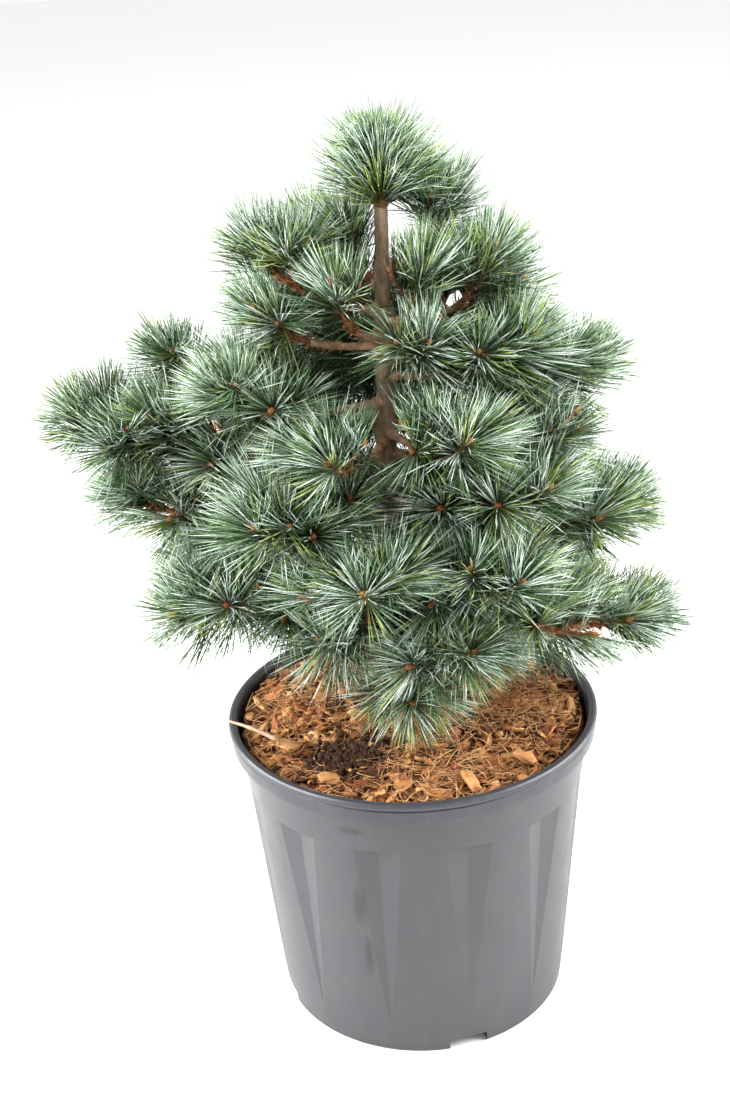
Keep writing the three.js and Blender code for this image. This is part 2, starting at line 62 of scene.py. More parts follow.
# Studio, in metres and watts: the floor, and each softbox's place, what it faces, its size and its power
STAGE_RADIUS = 6
STAGE_SIDES = 128
FLOOR_FINISH = {"color": (0.92, 0.92, 0.92), "roughness": 0.9, "specular": 0.1}
WORLD_STRENGTH = 0.95
SOFTBOXES = {
    "softbox_left": ((-1.7, -0.5, 1.3), (0, 0, 0.35), (0.9, 1.1), 72),
    "softbox_right": ((1.7, -0.45, 1.2), (0, 0, 0.3), (0.9, 1.1), 60),
    "softbox_top": ((0, 0, 2.4), (0, 0, 0.3), (1.2, 1.2), 20),
    "sidebox_left": ((-1.6, 0.3, 0.5), (0, 0, 0.3), (0.6, 0.9), 38),
    "sidebox_right": ((1.6, 0.3, 0.4), (0, 0, 0.2), (0.6, 0.9), 24),
}

# Pot, in millimetres and degrees
POT_SIDES = 96
BASE_RADIUS = 100.8
COLLAR_RADIUS = 119.3
COLLAR_HEIGHT = 202.4
BAND_RADIUS = 125.8
RIM_RADIUS = 126.4
RIM_HEIGHT = 218
WALL = 6.8
FLOOR_HEIGHT = 11
FOOT_RING = 13
FOOT_RECESS = 2.4
STEP_OUT = 0.45
STEP_TOP = COLLAR_HEIGHT - 4
BAND_FOOT = COLLAR_HEIGHT - 0.5
FLUTE_COUNT = 12
FLUTE_TOP = 174.5
FLUTE_FOOT = 22
FLUTE_HALF_ANGLE = 7.75
FLUTE_FOOT_HALF_ANGLE = 0.35
FLUTE_SHOULDER = 0.6
FLUTE_DEPTH = 4
NOTCH_COUNT = 4
NOTCH_AZIMUTH = 15
NOTCH_WIDTH = 27
NOTCH_HEIGHT = 8.5
NOTCH_DEPTH = 15
NOTCH_ROUNDING = 1.2
NOTCH_OVERCUT = 3
# The lip's section, as steps out and up from the rim
LIP = (
    (-0.3, -6.4), (-0.9, -5.9), (-0.8, -5.3), (0.1, -4.6), (0.6, -3.4), (0.4, -1.7),
    (-0.5, -0.5), (-1.9, 0), (-3.6, -0.3), (-4.9, -1.4), (-5.6, -3.4), (-6.4, -9),
)
POT_SMOOTHING = 12
# How near two places are taken to be the same, in metres, and two azimuths, in degrees
SAME_PLACE = 2e-5
SAME_AZIMUTH = 0.2
WALL_TONES = ((0.04, 0.041, 0.045), (0.034, 0.035, 0.039))
# Painted shade: the band and lip take a darker copy of the wall's plastic.
BAND_SHADE_TONES = ((0.03, 0.031, 0.037), (0.023, 0.024, 0.029))
DUST = (0.05, 0.05, 0.05)
SPECKS = (0.3, 0.3, 0.29)
SHEEN = (0.32, 0.46)

# Blots on the pot, in millimetres: the middle of each and how far it reaches
STAINS = (
    ((-43, -104, 128), (5, 30, 20)),
    ((-39, -100, 84), (3.5, 30, 22)),
    ((-46, -112, 190), (12, 30, 4)),
)
STAIN_COLOR = (0.017, 0.018, 0.02)

# Soil and mulch, in millimetres and radians
SOIL_RADIUS = 117.6
SOIL_EDGE_HEIGHT = 207.5
SOIL_TOP = 213
SOIL_FLAT_RADIUS = 26
SOIL_GAP = 0.4
SOIL_RINGS = 15
SOIL_INNER_RADIUS = 4
SOIL_SHOULDER = 4
SOIL_TOP_DEPTH = 1
CRUMB_SIZE = 5
CRUMB_RELIEF = 6
HEAP = {"middle": (-62, 30), "height": 5, "spread": 50}
HOLLOW = {"middle": (-48, -62), "height": -3, "spread": 24}
MULCH_RING = (12, 114)
MULCH_REACH = 116
TRUNK_ROOM = 14
TRUNK_SIDESTEP = 30
CHIP_SHAPES = (
    (17, 9, 2), (12, 8, 1.6), (24, 6, 2.2), (10, 6, 2.4), (15, 12, 1.8), (30, 3.4, 1.6), (8, 5, 1.4),
)
CHIP_SURFACE = {"number_cuts": 2, "fractal": 2.6, "fractal_along_normal": 0.3}
# A chip's two ends: where each begins, as a share of its length, and how it is drawn in
CHIP_END = 0.4
CHIP_ENDS = ((1, (1, 0.62, 0.45)), (-1, (1, 0.78, 0.6)))
CHIP_COUNTS = {"tan": 280, "orange": 460, "russet": 260, "dark": 110}
CHIP_SIZES = (0.35, 1)
CHIP_ANGLES = ((0, 6.28), (-0.55, 0.55), (-0.6, 0.6))
CHIP_LIFT = (-1.5, 3.2)
BIG_CHIPS = (
    {"size": (17, 13, 2.6), "place": (-84, -44, 217), "yaw": 0.9, "tilt": 0.3},
    {"size": (20, 6.5, 4.5), "place": (33, -96, 215), "yaw": 2.0, "tilt": -0.1},
    {"size": (13, 9, 3), "place": (-58, -84, 215), "yaw": 0.3, "tilt": 0.2},
    {"size": (15, 8, 3.4), "place": (70, -74, 216), "yaw": -0.6, "tilt": 0.25},
)
BIG_CHIP_LEAN = 0.1
BIG_CHIP_SEED = 20
STICK_ENDS = np.array([[-126, -15, 221.5], [-92, -38, 217.5]])
STICK_RINGS = 12
STICK_RADII = (0.9, 1.7)
STICK_SIDES = 8
# The stick's arch: its height, and how much of a sine it follows, in radians
STICK_ARCH = 1.6
STICK_ARCH_TURN = 3
# Painted shadow: a patch of dark crumbs on the mulch under the low tuft above it.
SHADOW_PATCH = {
    "middle": (-47, -57), "spread": (13, 10.4), "lift": (2, 6), "turns": (0, 6.28),
    "crumbs": 520, "crumb": (5, 4, 3), "seed": 40,
}
FIBRE_RINGS = 7
FIBRE_CURL = 1.1
FIBRE_ARCH = (-2, 2.4)
FIBRE_LIFT = 2
FIBRE_PILE = 4
FIBRES = {
    "blond": {"count": 1300, "radius": (0.14, 0.34), "length": (9, 34)},
    "brown": {"count": 900, "radius": (0.16, 0.45), "length": (8, 26)},
}
MULCH_TONES = {
    "soil_crumb": ((0.2, 0.085, 0.035), (0.07, 0.03, 0.014)),
    "chip_tan": ((0.72, 0.4, 0.17), (0.5, 0.24, 0.09)),
    "chip_orange": ((0.58, 0.27, 0.1), (0.36, 0.14, 0.045)),
    "chip_russet": ((0.4, 0.15, 0.055), (0.22, 0.075, 0.026)),
    "chip_dark": ((0.13, 0.055, 0.025), (0.06, 0.026, 0.012)),
    "chip_pale": ((0.62, 0.32, 0.13), (0.42, 0.19, 0.07)),
    "stick_wood": ((0.62, 0.42, 0.3), (0.42, 0.24, 0.15)),
    # The dark patch's crumbs, painted shadow on the mulch.
    "painted_shadow_tone": ((0.075, 0.035, 0.02), (0.03, 0.014, 0.008)),
    "fibre_blond": ((0.74, 0.46, 0.22), (0.45, 0.22, 0.09)),
    "fibre_brown": ((0.42, 0.19, 0.08), (0.2, 0.08, 0.03)),
}
MULCH_FLECKS = (0.07, 0.028, 0.012)

# Trunk, in millimetres
TRUNK_FOOT = np.array([-11, 0, 214.3])
TRUNK_WAIST = np.array([-9.5, 1, 390.15])
TRUNK_TIP = np.array([-4.5, 0, 566])
TRUNK_FOOT_RADIUS = 8.2
TRUNK_TIP_RADIUS = 4.2
FLARE = 5
FLARE_HEIGHT = 16

# Limbs, in millimetres: each is a curve from the trunk's middle to its leading bud
KNEE_SHARE = 0.76
KNEE_RISE = 0.12
LIMB_ROOT_RADIUS = 1.7
LIMB_STOUTNESS = 0.0105
LIMB_TIP_RADIUS = 1.8
LEAFY_SHARE = 0.64
LEAFY_MOST = 148
CLEARANCE_STEPS = 12
CURVE_STEPS = 200
PARALLEL = 1e-9

# Bark: light and dark, how the pattern stretches, and the relief's height, lumps and scales in millimetres
BARK_TONES = {
    "trunk_bark": ((0.6, 0.45, 0.3), (0.22, 0.145, 0.09), (1, 1, 0.4)),
    "bough_bark": ((0.76, 0.52, 0.35), (0.38, 0.2, 0.11), (1, 1, 1)),
    "twig_bark": ((0.4, 0.2, 0.09), (0.18, 0.075, 0.035), (1, 1, 1)),
}
LICHEN = (0.4, 0.3, 0.21)
CRACKS = (0.05, 0.028, 0.018)
TRUNK_RELIEF = (1.1, 5, 3.2)
BOUGH_RELIEF = (0.7, 3.4, 2.2)
RELIEF_IN_SCALES = 0.6
TRUNK_BEVEL = 10
BOUGH_BEVEL = 4
PAST_END = 1
TRUNK_STEP = 2
TRUNK_WHORL = {"swelling": 0.9, "reach": 5}
BOUGH_STEP = 2.6
BOUGH_COLLAR = {"swelling": 1.6, "place": 4, "reach": 6}

# Shoots, in millimetres and degrees
LEAD_LENGTH = 42
LEADER_LENGTH = 44
LEADER_NECK = 4
LEADER_LEAN = -2.5
NODE_STEP = 36
NODE_GAP = 5
SIDE_SPREAD = (44, 58)
SIDE_LIFT = (0, 52)
SIDE_LENGTH = (36, 46)
SIDE_LENGTHENING = 6
SIDE_TRIES = 4
LIMB_CLEAR = 9
TRUNK_CLEAR = 13
SHOOT_CLEAR = 13
TIP_CLEAR = 30
SEED = 20731
SPUR_SEED = SEED + 2
DRESSING_SEED = SEED + 3
RANDOM_FACTOR = 48271
RANDOM_MODULUS = 2147483647

# Spurs: the finer twigs on each shoot, in millimetres and degrees
SPUR_PLACES = (0.24, 0.42)
SPUR_SPREAD = (34, 54)
SPUR_LENGTH = (22, 30)
SPUR_TIP_CLEAR = 15

# Twigs and buds, in millimetres: radii at the foot and at the bud
TWIG_RINGS = 9
TWIG_SIDES = 7
HEADING_STEP = 0.5
TWIG_RADII = {
    "leader": (TRUNK_TIP_RADIUS, 1.2),
    "lead": (1.8, 1.15),
    "side": (1.6, 1.1),
    "spur": (1.1, 0.85),
}
LEADER_FOOT = -0.5
LEADER_TAPER = 2.4
TWIG_KNOBS = (0.84, 1.2)
BUD_PROFILE = np.array([(-0.1, 0.5), (0.1, 0.85), (0.3, 1), (0.5, 0.82), (0.75, 0.5), (1, 0.08)])
BUD_LENGTH = 6.8
BUD_RADIUS = 1.9
SPUR_BUD = 0.75
BUD_SIDES = 8
BUD_SCALES = 0.18

# Dry scales by kind of twig: how many on its foot, how far they reach in millimetres, how many at its bud
SCALES = {"leader": (130, 5, 16), "shoot": (40, 15, 12), "spur": (8, 7, 0), "bough": (34, 40, 0)}
SCALY_BOUGH = 26
SCALE_LEAN = (20, 62)
SCALE_LENGTH = (2.6, 6.2)
SCALE_RADII = np.array([0.5, 0.1])
SCALE_UNEVEN = (0.7, 1.2)
SCALE_ROOT = 0.8
SCALES_BEFORE_BUD = 3
SCALE_END_CLEAR = 0.6
SHEATH_SHARES = np.array([-0.2, 1])
SHEATH_LENGTH = 3
SHEATH_RADII = (0.8, 0.45)
DRY_BROWN = {"color": (0.56, 0.27, 0.1), "roughness": 0.75}
SHEATH_BROWN = {"color": (0.3, 0.15, 0.06), "roughness": 0.7}
BUD_BROWN = {"color": (0.42, 0.17, 0.055), "roughness": 0.6}

# Sprays of five needles, in millimetres and degrees
SPRAY_STEP = 0.62
LEADER_SPRAY_STEP = 0.12
# Where along a limb its older sprays begin, as a share, and how far apart they are
OLD_NEEDLES = {"stem": (0.34, 1.6), "back_stem": (0.04, 0.7)}
SPRAY_SHIFT = 0.4
SPRAY_TURN = 137.5
TURN_JITTER = 12
SPLAY_JITTER = 20
BARE_TIP = 0.8
STEM_RADIUS = 1.2
ROOT_SHARE = 0.7
NEEDLES_IN_SPRAY = 5
# How far a needle strays from its place around its spray, in radians
NEEDLE_JITTER = 0.3
NEEDLE_ROOM = 0.3
NEEDLE_SPREAD = (5, 12)
NEEDLE_RISE = 0.12
NEEDLE_DROOP = 0.05
NEEDLE_WIDTH = 0.59
NEEDLE_BEND = (-0.1, 0.24)
NEEDLE_SIDE_BEND = 0.09
NEEDLE_LENGTHS = (0.88, 1.06)
NEEDLE_RINGS = (0, 0.68)
NEEDLE_RING_WIDTHS = (0.95, 1.05)
NEEDLE_CORNERS = ((0.5, 0.2), (-0.5, 0.2), (0, -0.45))
NEEDLE_SAMPLES = (0.25, 0.4, 0.55, 0.7, 0.85, 1)
NEEDLE_ROUGHNESS = 0.36
NEEDLES_A_PIECE = 19000

# Tufts: where the needles start, how they splay from foot to tip, and the globe that holds their tips
TUFT_VARIATION = (0.88, 1.05)
GLOBE_PLACE = 0.6
TUFTS = {
    "leader": {"start": 0.02, "splay": (66, 40), "length": 70, "globe": (53, 53, 39), "shift": (3, 0, -9)},
    "shoot": {"start": 0.24, "splay": (54, 32), "length": 50, "globe": 43, "shift": 0},
    "spur": {"start": 0.2, "splay": (54, 34), "length": 45, "globe": 37, "shift": 0},
    "stem": {"start": 0, "splay": (60, 60), "length": 42, "globe": 200, "shift": 0},
    "back_stem": {"start": 0, "splay": (66, 66), "length": 50, "globe": 200, "shift": 0},
}

# Needle tones, dealt out by spray: the back of a needle, its two inner faces, and each tone's share. The
# darkest tone, last in the table, is painted shade: near-black needles that stand in for the shade deep in
# the crown.
TONES = {
    "silver": {"back": (0.07, 0.145, 0.045), "face": (0.6, 0.71, 0.62)},
    "green": {"back": (0.03, 0.075, 0.015), "face": (0.22, 0.34, 0.195)},
    "fresh": {"back": (0.125, 0.2, 0.016), "face": (0.38, 0.46, 0.14)},
    "painted_shade": {"back": (0.012, 0.024, 0.005), "face": (0.052, 0.09, 0.034)},
}
PAINTED_SHADE_TONE = list(TONES).index("painted_shade")
# The old stems inside the crown, and most of all those at the back, are dealt mostly the darkest tone:
# painted shade.
TONE_SHARES = {
    "leader": (0.4, 0.4, 0.12, 0.08),
    "shoot": (0.52, 0.32, 0.13, 0.03),
    "spur": (0.38, 0.38, 0.09, 0.15),
    "stem": (0.06, 0.3, 0, 0.64),
    "back_stem": (0.02, 0.26, 0, 0.72),
}
# Sprays near the foot of a tuft, within this share of its leafy length and by this chance, take the darkest
# tone as painted shade, except on the leader.
SHADED_SHARE = 0.4
SHADED_CHANCE = 0.5

# What needles keep clear of, in millimetres
MULCH_CLEAR = 5
RIM_CLEAR = 2
RIM_INSIDE = 9
RIM_OUTSIDE = 3
NO_SURFACE = -1000
BARK_CLEAR = 0.6
BUD_VIEW = 40
BUD_VIEW_RADIUS = 3
BUD_VIEW_SPREAD = 0.3

# Lengths of wood that show between the needles: the limb, from where to where, how far to each side
BARE_WOOD = (
    ("trunk", 294, 350, 5),
    ("trunk", 186, 230, 3),
    ("third_left", 12, 74, 3),
    ("upper_left", 54, 76, 3),
    ("face_left", 18, 50, 2),
    ("upper_right", 48, 68, 3),
    ("base_far_right", 108, 140, 3),
    ("first_left", 140, 162, 3),
)
BARE_WOOD_STEP = 3
BARE_WOOD_NEAR = 100

# Gaps right through the crown, in millimetres: a place on the line of sight and its half width
CROWN_GAPS = (
    ((34, 0, 507), 4),
    ((40, 0, 505), 5.5),
    ((48, 0, 503), 4),
    ((-117, 0, 429), 4),
    ((-123, 0, 432), 3),
    ((115, 0, 271), 6),
    ((132, 0, 267), 5),
)

# The limbs by tier, from the crest down: name, azimuth in degrees, fork height on the
# trunk, reach and height of the leading bud, shoots, side of the first side shoot
LIMBS = [
    ("crest_right", 17, 526, 47, 571, 1, -1),
    ("crest_left", 161, 516, 25, 555, 1, 1),
    ("upper_left", 186, 500, 79, 554, 2, -1),
    ("upper_right", 336, 488, 75, 543, 2, 1),
    ("upper_far_right", 1, 480, 88, 516, 2, -1),
    ("upper_back", 125, 500, 76, 540, 2, -1),
    ("face_left", 240, 484, 60, 533, 1, -1),
    ("face_right", 296, 494, 54, 537, 1, 1),
    ("face_middle", 289, 474, 76, 500, 1, 1),
    ("third_left", 204, 478, 83, 515, 1, 1),
    ("third_right", 328, 458, 104, 494, 4, 1),
    ("third_back_right", 48, 466, 108, 506, 4, 1),
    ("third_back_left", 134, 466, 110, 506, 4, 1),
    ("second_left", 212, 440, 122, 476, 5, 1),
    ("second_far_left", 170, 430, 146, 475, 1, 1),
    ("second_far_right", 4, 424, 140, 458, 5, 1),
    ("second_face", 293, 420, 116, 450, 4, 1),
    ("second_right", 336, 404, 128, 432, 5, 1),
    ("second_face_left", 252, 414, 114, 442, 4, 1),
    ("second_back", 88, 426, 140, 448, 6, 1),
    ("second_back_left", 122, 418, 114, 436, 5, 1),
    ("arm_left", 182, 396, 198, 448, 7, 1),
    ("first_left", 188, 362, 172, 396, 5, 1),
    ("first_right", 352, 346, 158, 368, 6, 1),
    ("first_face_right", 314, 374, 134, 414, 4, 1),
    ("first_face_left", 232, 366, 132, 402, 5, 1),
    ("first_back_right", 40, 362, 154, 386, 6, 1),
    ("first_back_left", 138, 368, 154, 390, 6, 1),
    ("base_face", 262, 336, 136, 370, 4, 1),
    ("base_face_right", 301, 326, 144, 366, 5, 1),
    ("base_left", 211, 320, 158, 338, 6, 1),
    ("base_low_right", 292, 288, 122, 316, 4, 1),
    ("base_low_left", 246, 298, 114, 326, 3, 1),
    ("base_front", 275, 262, 94, 272, 1, -1),
    ("base_right", 322, 302, 154, 314, 4, 1),
    ("base_far_right", 356, 266, 178, 288, 4, 1),
    ("base_back", 82, 306, 148, 322, 6, 1),
    ("base_back_left", 158, 296, 152, 312, 5, 1),
    ("base_back_right", 28, 290, 150, 300, 5, 1),
]


def lerp(low, high, share):
    return low + (high - low) * share


def unit(vector):
    return vector / np.linalg.norm(vector)


# Growth: the rule of the plant's solids, carried on to finer twigs
class SeededNumbers:
    """A repeatable run of numbers between 0 and 1."""

    def __init__(self, seed):
        self.state = seed

    def between(self, span):
        self.state = self.state * RANDOM_FACTOR % RANDOM_MODULUS
        return span[0] + (span[1] - span[0]) * (self.state / RANDOM_MODULUS)

    def angle(self, span):
        return math.radians(self.between(span))


class Bend:
    """A quadratic curve that is walked by its length."""

    SHARES = np.linspace(0, 1, CURVE_STEPS + 1)

    def __init__(self, start, middle, end):
        self.start, self.middle, self.end = start, middle, end
        steps = np.linalg.norm(np.diff(self.at(self.SHARES), axis=0), axis=1)
        self.lengths = np.concatenate([[0], np.cumsum(steps)])
        self.length = self.lengths[-1]

    def at(self, share):
        t = np.asarray(share)[..., None]
        return (1 - t) ** 2 * self.start + 2 * t * (1 - t) * self.middle + t ** 2 * self.end

    def along(self, distance):
        return self.at(np.interp(distance, self.lengths, self.SHARES))

    def heading(self, distance):
        t = np.interp(distance, self.lengths, self.SHARES)
        return unit((1 - t) * (self.middle - self.start) + t * (self.end - self.middle))


TRUNK = Bend(TRUNK_FOOT, TRUNK_WAIST, TRUNK_TIP)


def trunk_share(height):
    return (height - TRUNK_FOOT[2]) / (TRUNK_TIP[2] - TRUNK_FOOT[2])


def trunk_radius(height):
    flare = FLARE * np.exp(-(height - TRUNK_FOOT[2]) / FLARE_HEIGHT)
    return lerp(TRUNK_FOOT_RADIUS, TRUNK_TIP_RADIUS, trunk_share(height)) + flare


class Limb:
    """A curve from the trunk's middle to a leading bud."""

    def __init__(self, name, curve, shoots, first, leader=False):
        self.name, self.curve, self.shoots, self.first, self.leader = name, curve, shoots, first, leader
        self.length = curve.length
        self.leafy = self.length if leader else min(LEAFY_SHARE * self.length, LEAFY_MOST)
        self.lead = min(LEAD_LENGTH, self.length - LEADER_NECK)
        points = curve.along(np.linspace(0, self.length, CLEARANCE_STEPS + 1))
        self.starts, self.ends = points[:-1], points[1:]

    def radius(self, distance):
        root = TRUNK_TIP_RADIUS if self.leader else LIMB_ROOT_RADIUS + LIMB_STOUTNESS * self.length
        return lerp(root, LIMB_TIP_RADIUS, distance / self.length)


def plan_limb(name, azimuth, fork, reach, bud, shoots, first):
    turn = math.radians(azimuth)
    outward = np.array([math.cos(turn), math.sin(turn), 0])
    root = TRUNK.at(trunk_share(fork))
    knee = root + KNEE_SHARE * reach * outward + [0, 0, KNEE_RISE * (bud - fork)]
    end = root + reach * outward
    end[2] = bud
    return Limb(name, Bend(root, knee, end), shoots, first)


def plan_leader():
    middle = TRUNK_TIP + TRUNK.heading(TRUNK.length) * LEADER_LENGTH / 2
    end = TRUNK_TIP + [LEADER_LEAN, 0, LEADER_LENGTH]
    return Limb("leader", Bend(TRUNK_TIP, middle, end), 1, 1, leader=True)


def gap(start, end, starts, ends):
    """The least distance between a segment and any of some others."""
    d1, d2, r = end - start, ends - starts, start - starts
    a, e = d1 @ d1, np.sum(d2 * d2, axis=1)
    f, c, b = np.sum(d2 * r, axis=1), r @ d1, d2 @ d1
    spread = a * e - b * b
    s = np.where(spread > PARALLEL, np.clip((b * f - c * e) / np.maximum(spread, PARALLEL), 0, 1), 0)
    t = (b * s + f) / e
    s = np.where(t < 0, np.clip(-c / a, 0, 1), np.where(t > 1, np.clip((b - c) / a, 0, 1), s))
    t = np.clip(t, 0, 1)
    between = start + s[:, None] * d1 - (starts + t[:, None] * d2)
    return np.linalg.norm(between, axis=1).min()


def gap_to_trunk(start, end):
    return gap(start, end, TRUNK_FOOT[None], TRUNK_TIP[None])


class Shoot:
    """A straight twig from its base to its bud."""

    def __init__(self, limb, base, tip, lead=False):
        self.limb, self.base, self.tip, self.lead = limb, base, tip, lead


def side_direction(along, side, spread, lift):
    lateral = unit(np.cross(along, [0, 0, 1]))
    upward = unit(np.cross(lateral, along))
    sideways = lateral * side * math.cos(lift) + upward * math.sin(lift)
    return unit(along * math.cos(spread) + sideways * math.sin(spread))


def side_shoot(limb, index, numbers):
    """One try at a side shoot, which leaves the limb to its left or right."""
    node = index // 2
    back = min(LEAD_LENGTH + NODE_GAP * (1 + index % 2) + NODE_STEP * node, limb.leafy - NODE_GAP)
    base = limb.curve.along(limb.length - back)
    side = limb.first * (1 if index % 2 == 0 else -1)
    spread = numbers.angle(SIDE_SPREAD)
    lift = numbers.angle(SIDE_LIFT)
    length = numbers.between(SIDE_LENGTH) + SIDE_LENGTHENING * node
    direction = side_direction(limb.curve.heading(limb.length - back), side, spread, lift)
    return Shoot(limb, base, base + direction * length)


def is_free(shoot, limbs, shoots):
    if gap_to_trunk(shoot.base, shoot.tip) < TRUNK_CLEAR:
        return False
    others = [limb for limb in limbs if limb is not shoot.limb]
    starts = np.concatenate([limb.starts for limb in others])
    ends = np.concatenate([limb.ends for limb in others])
    if gap(shoot.base, shoot.tip, starts, ends) < LIMB_CLEAR:
        return False
    tips = np.array([other.tip for other in shoots])
    if np.linalg.norm(tips - shoot.tip, axis=1).min() < TIP_CLEAR:
        return False
    apart = [other for other in shoots if not other.lead and other.limb is not shoot.limb]
    if not apart:
        return True
    bases = np.array([other.base for other in apart])
    tips = np.array([other.tip for other in apart])
    return gap(shoot.base, shoot.tip, bases, tips) >= SHOOT_CLEAR


def plan_shoots(limbs):
    numbers = SeededNumbers(SEED)
    shoots = []
    for limb in limbs:
        base = limb.curve.along(limb.length - limb.lead)
        shoots.append(Shoot(limb, base, limb.curve.end, lead=True))
    for limb in limbs:
        for index in range(limb.shoots - 1):
            for _ in range(SIDE_TRIES):
                shoot = side_shoot(limb, index, numbers)
                if is_free(shoot, limbs, shoots):
                    shoots.append(shoot)
                    break
    return shoots


def plan_spurs(shoots):
    """The finer twigs, which leave each shoot to its left and right where there is room."""
    numbers = SeededNumbers(SPUR_SEED)
    tips = [shoot.tip for shoot in shoots]
    spurs = []
    for shoot in shoots:
        if shoot.limb.leader:
            continue
        along = unit(shoot.tip - shoot.base)
        for place, side in zip(SPUR_PLACES, (1, -1)):
            base = lerp(shoot.base, shoot.tip, place)
            spread = numbers.angle(SPUR_SPREAD)
            lift = numbers.angle(SIDE_LIFT)
            tip = base + side_direction(along, side, spread, lift) * numbers.between(SPUR_LENGTH)
            if np.linalg.norm(np.array(tips) - tip, axis=1).min() < SPUR_TIP_CLEAR:
                continue
            if gap_to_trunk(base, tip) < TRUNK_CLEAR:
                continue
            spurs.append(Shoot(shoot.limb, base, tip))
            tips.append(tip)
    return spurs


LIMB_PLANS = [plan_leader()] + [plan_limb(*row) for row in LIMBS]
SHOOTS = plan_shoots(LIMB_PLANS)
SPURS = plan_spurs(SHOOTS)


# Shader groups, shared by the materials
def feed(node, links):
    """Feeds a node's inputs from the outputs of others."""
    for socket, output in links.items():
        node.id_data.links.new(output, node.inputs[socket])


def add_node(tree, kind, links=None, **settings):
    node = tree.nodes.new(kind)
    for name, value in settings.items():
        setattr(node, name, value)
    feed(node, links or {})
    return node


def make_group(name, inputs, outputs):
    """An empty group: its inputs with their usual values, and its outputs with their kinds."""
    kinds = {1: "NodeSocketFloat", 3: "NodeSocketVector", 4: "NodeSocketColor"}
    tree = bpy.data.node_groups.new(name, "ShaderNodeTree")
    for socket, value in inputs.items():
        kind = kinds[np.size(value)]
        tree.interface.new_socket(socket, in_out="INPUT", socket_type=kind).default_value = value
    for socket, kind in outputs.items():
        tree.interface.new_socket(socket, in_out="OUTPUT", socket_type=kind)
    return tree, add_node(tree, "NodeGroupInput").outputs, add_node(tree, "NodeGroupOutput")


def stretched_place(tree, stretch):
    """The piece's own place, stretched along its axes."""
    place = add_node(tree, "ShaderNodeTexCoord").outputs["Object"]
    return add_node(tree, "ShaderNodeVectorMath", {0: place, 1: stretch}, operation="MULTIPLY").outputs[0]


def add_noise(tree, place, size, detail, roughness=0.5):
    noise = add_node(tree, "ShaderNodeTexNoise", {"Vector": place, "Scale": size})
    noise.inputs["Detail"].default_value = detail
    noise.inputs["Roughness"].default_value = roughness
    return noise.outputs["Fac"]


def make_mottle_group():
    """Two colours in soft patches on the piece's own place."""
    tree, given, result = make_group(
        "mottle",
        {"Light": (0.5, 0.5, 0.5, 1), "Dark": (0.2, 0.2, 0.2, 1), "Size": 100,
         "Stretch": (1, 1, 1), "Low": 0.35, "High": 0.65},
        {"Color": "NodeSocketColor", "Mask": "NodeSocketFloat"})
    noise = add_noise(tree, stretched_place(tree, given["Stretch"]), given["Size"], detail=6, roughness=0.62)
    limits = {"Value": noise, "From Min": given["Low"], "From Max": given["High"]}
    mask = add_node(tree, "ShaderNodeMapRange", limits).outputs["Result"]
    colors = {"Factor": mask, "A": given["Dark"], "B": given["Light"]}
    mix = add_node(tree, "ShaderNodeMix", colors, data_type="RGBA")
    feed(result, {"Color": mix.outputs["Result"], "Mask": mask})
    return tree


def make_relief_group():
    """A fine uneven height: grain laid over soft lumps."""
    tree, given, result = make_group(
        "relief",
        {"Grain Size": 900, "Lump Size": 150, "Stretch": (1, 1, 1), "Grain": 0.5},
        {"Height": "NodeSocketFloat"})
    place = stretched_place(tree, given["Stretch"])
    grain = add_noise(tree, place, given["Grain Size"], detail=4)
    lumps = add_noise(tree, place, given["Lump Size"], detail=5)
    heights = {"Factor": given["Grain"], "A": lumps, "B": grain}
    mix = add_node(tree, "ShaderNodeMix", heights, data_type="FLOAT")
    feed(result, {"Height": mix.outputs["Result"]})
    return tree


def make_stain_group():
    """A mask for one long blot around a place, broken up by noise."""
    tree, given, result = make_group(
        "stain",
        {"Middle": (0, 0, 0), "Shares": (1, 1, 1), "Noise Size": 420, "Fade Start": 0.9, "Fade End": 1.5},
        {"Mask": "NodeSocketFloat"})
    place = add_node(tree, "ShaderNodeTexCoord").outputs["Object"]
    offset = add_node(tree, "ShaderNodeVectorMath", {0: place, 1: given["Middle"]}, operation="SUBTRACT")
    sides = {0: offset.outputs[0], 1: given["Shares"]}
    scaled = add_node(tree, "ShaderNodeVectorMath", sides, operation="MULTIPLY")
    length = add_node(tree, "ShaderNodeVectorMath", {0: scaled.outputs[0]}, operation="LENGTH")
    noise = add_noise(tree, place, given["Noise Size"], detail=6)
    total = add_node(tree, "ShaderNodeMath", {0: length.outputs["Value"], 1: noise}, operation="ADD")
    limits = {"Value": total.outputs[0], "From Min": given["Fade End"], "From Max": given["Fade Start"]}
    feed(result, {"Mask": add_node(tree, "ShaderNodeMapRange", limits).outputs["Result"]})
    return tree


MOTTLE = make_mottle_group()
RELIEF = make_relief_group()
STAIN = make_stain_group()


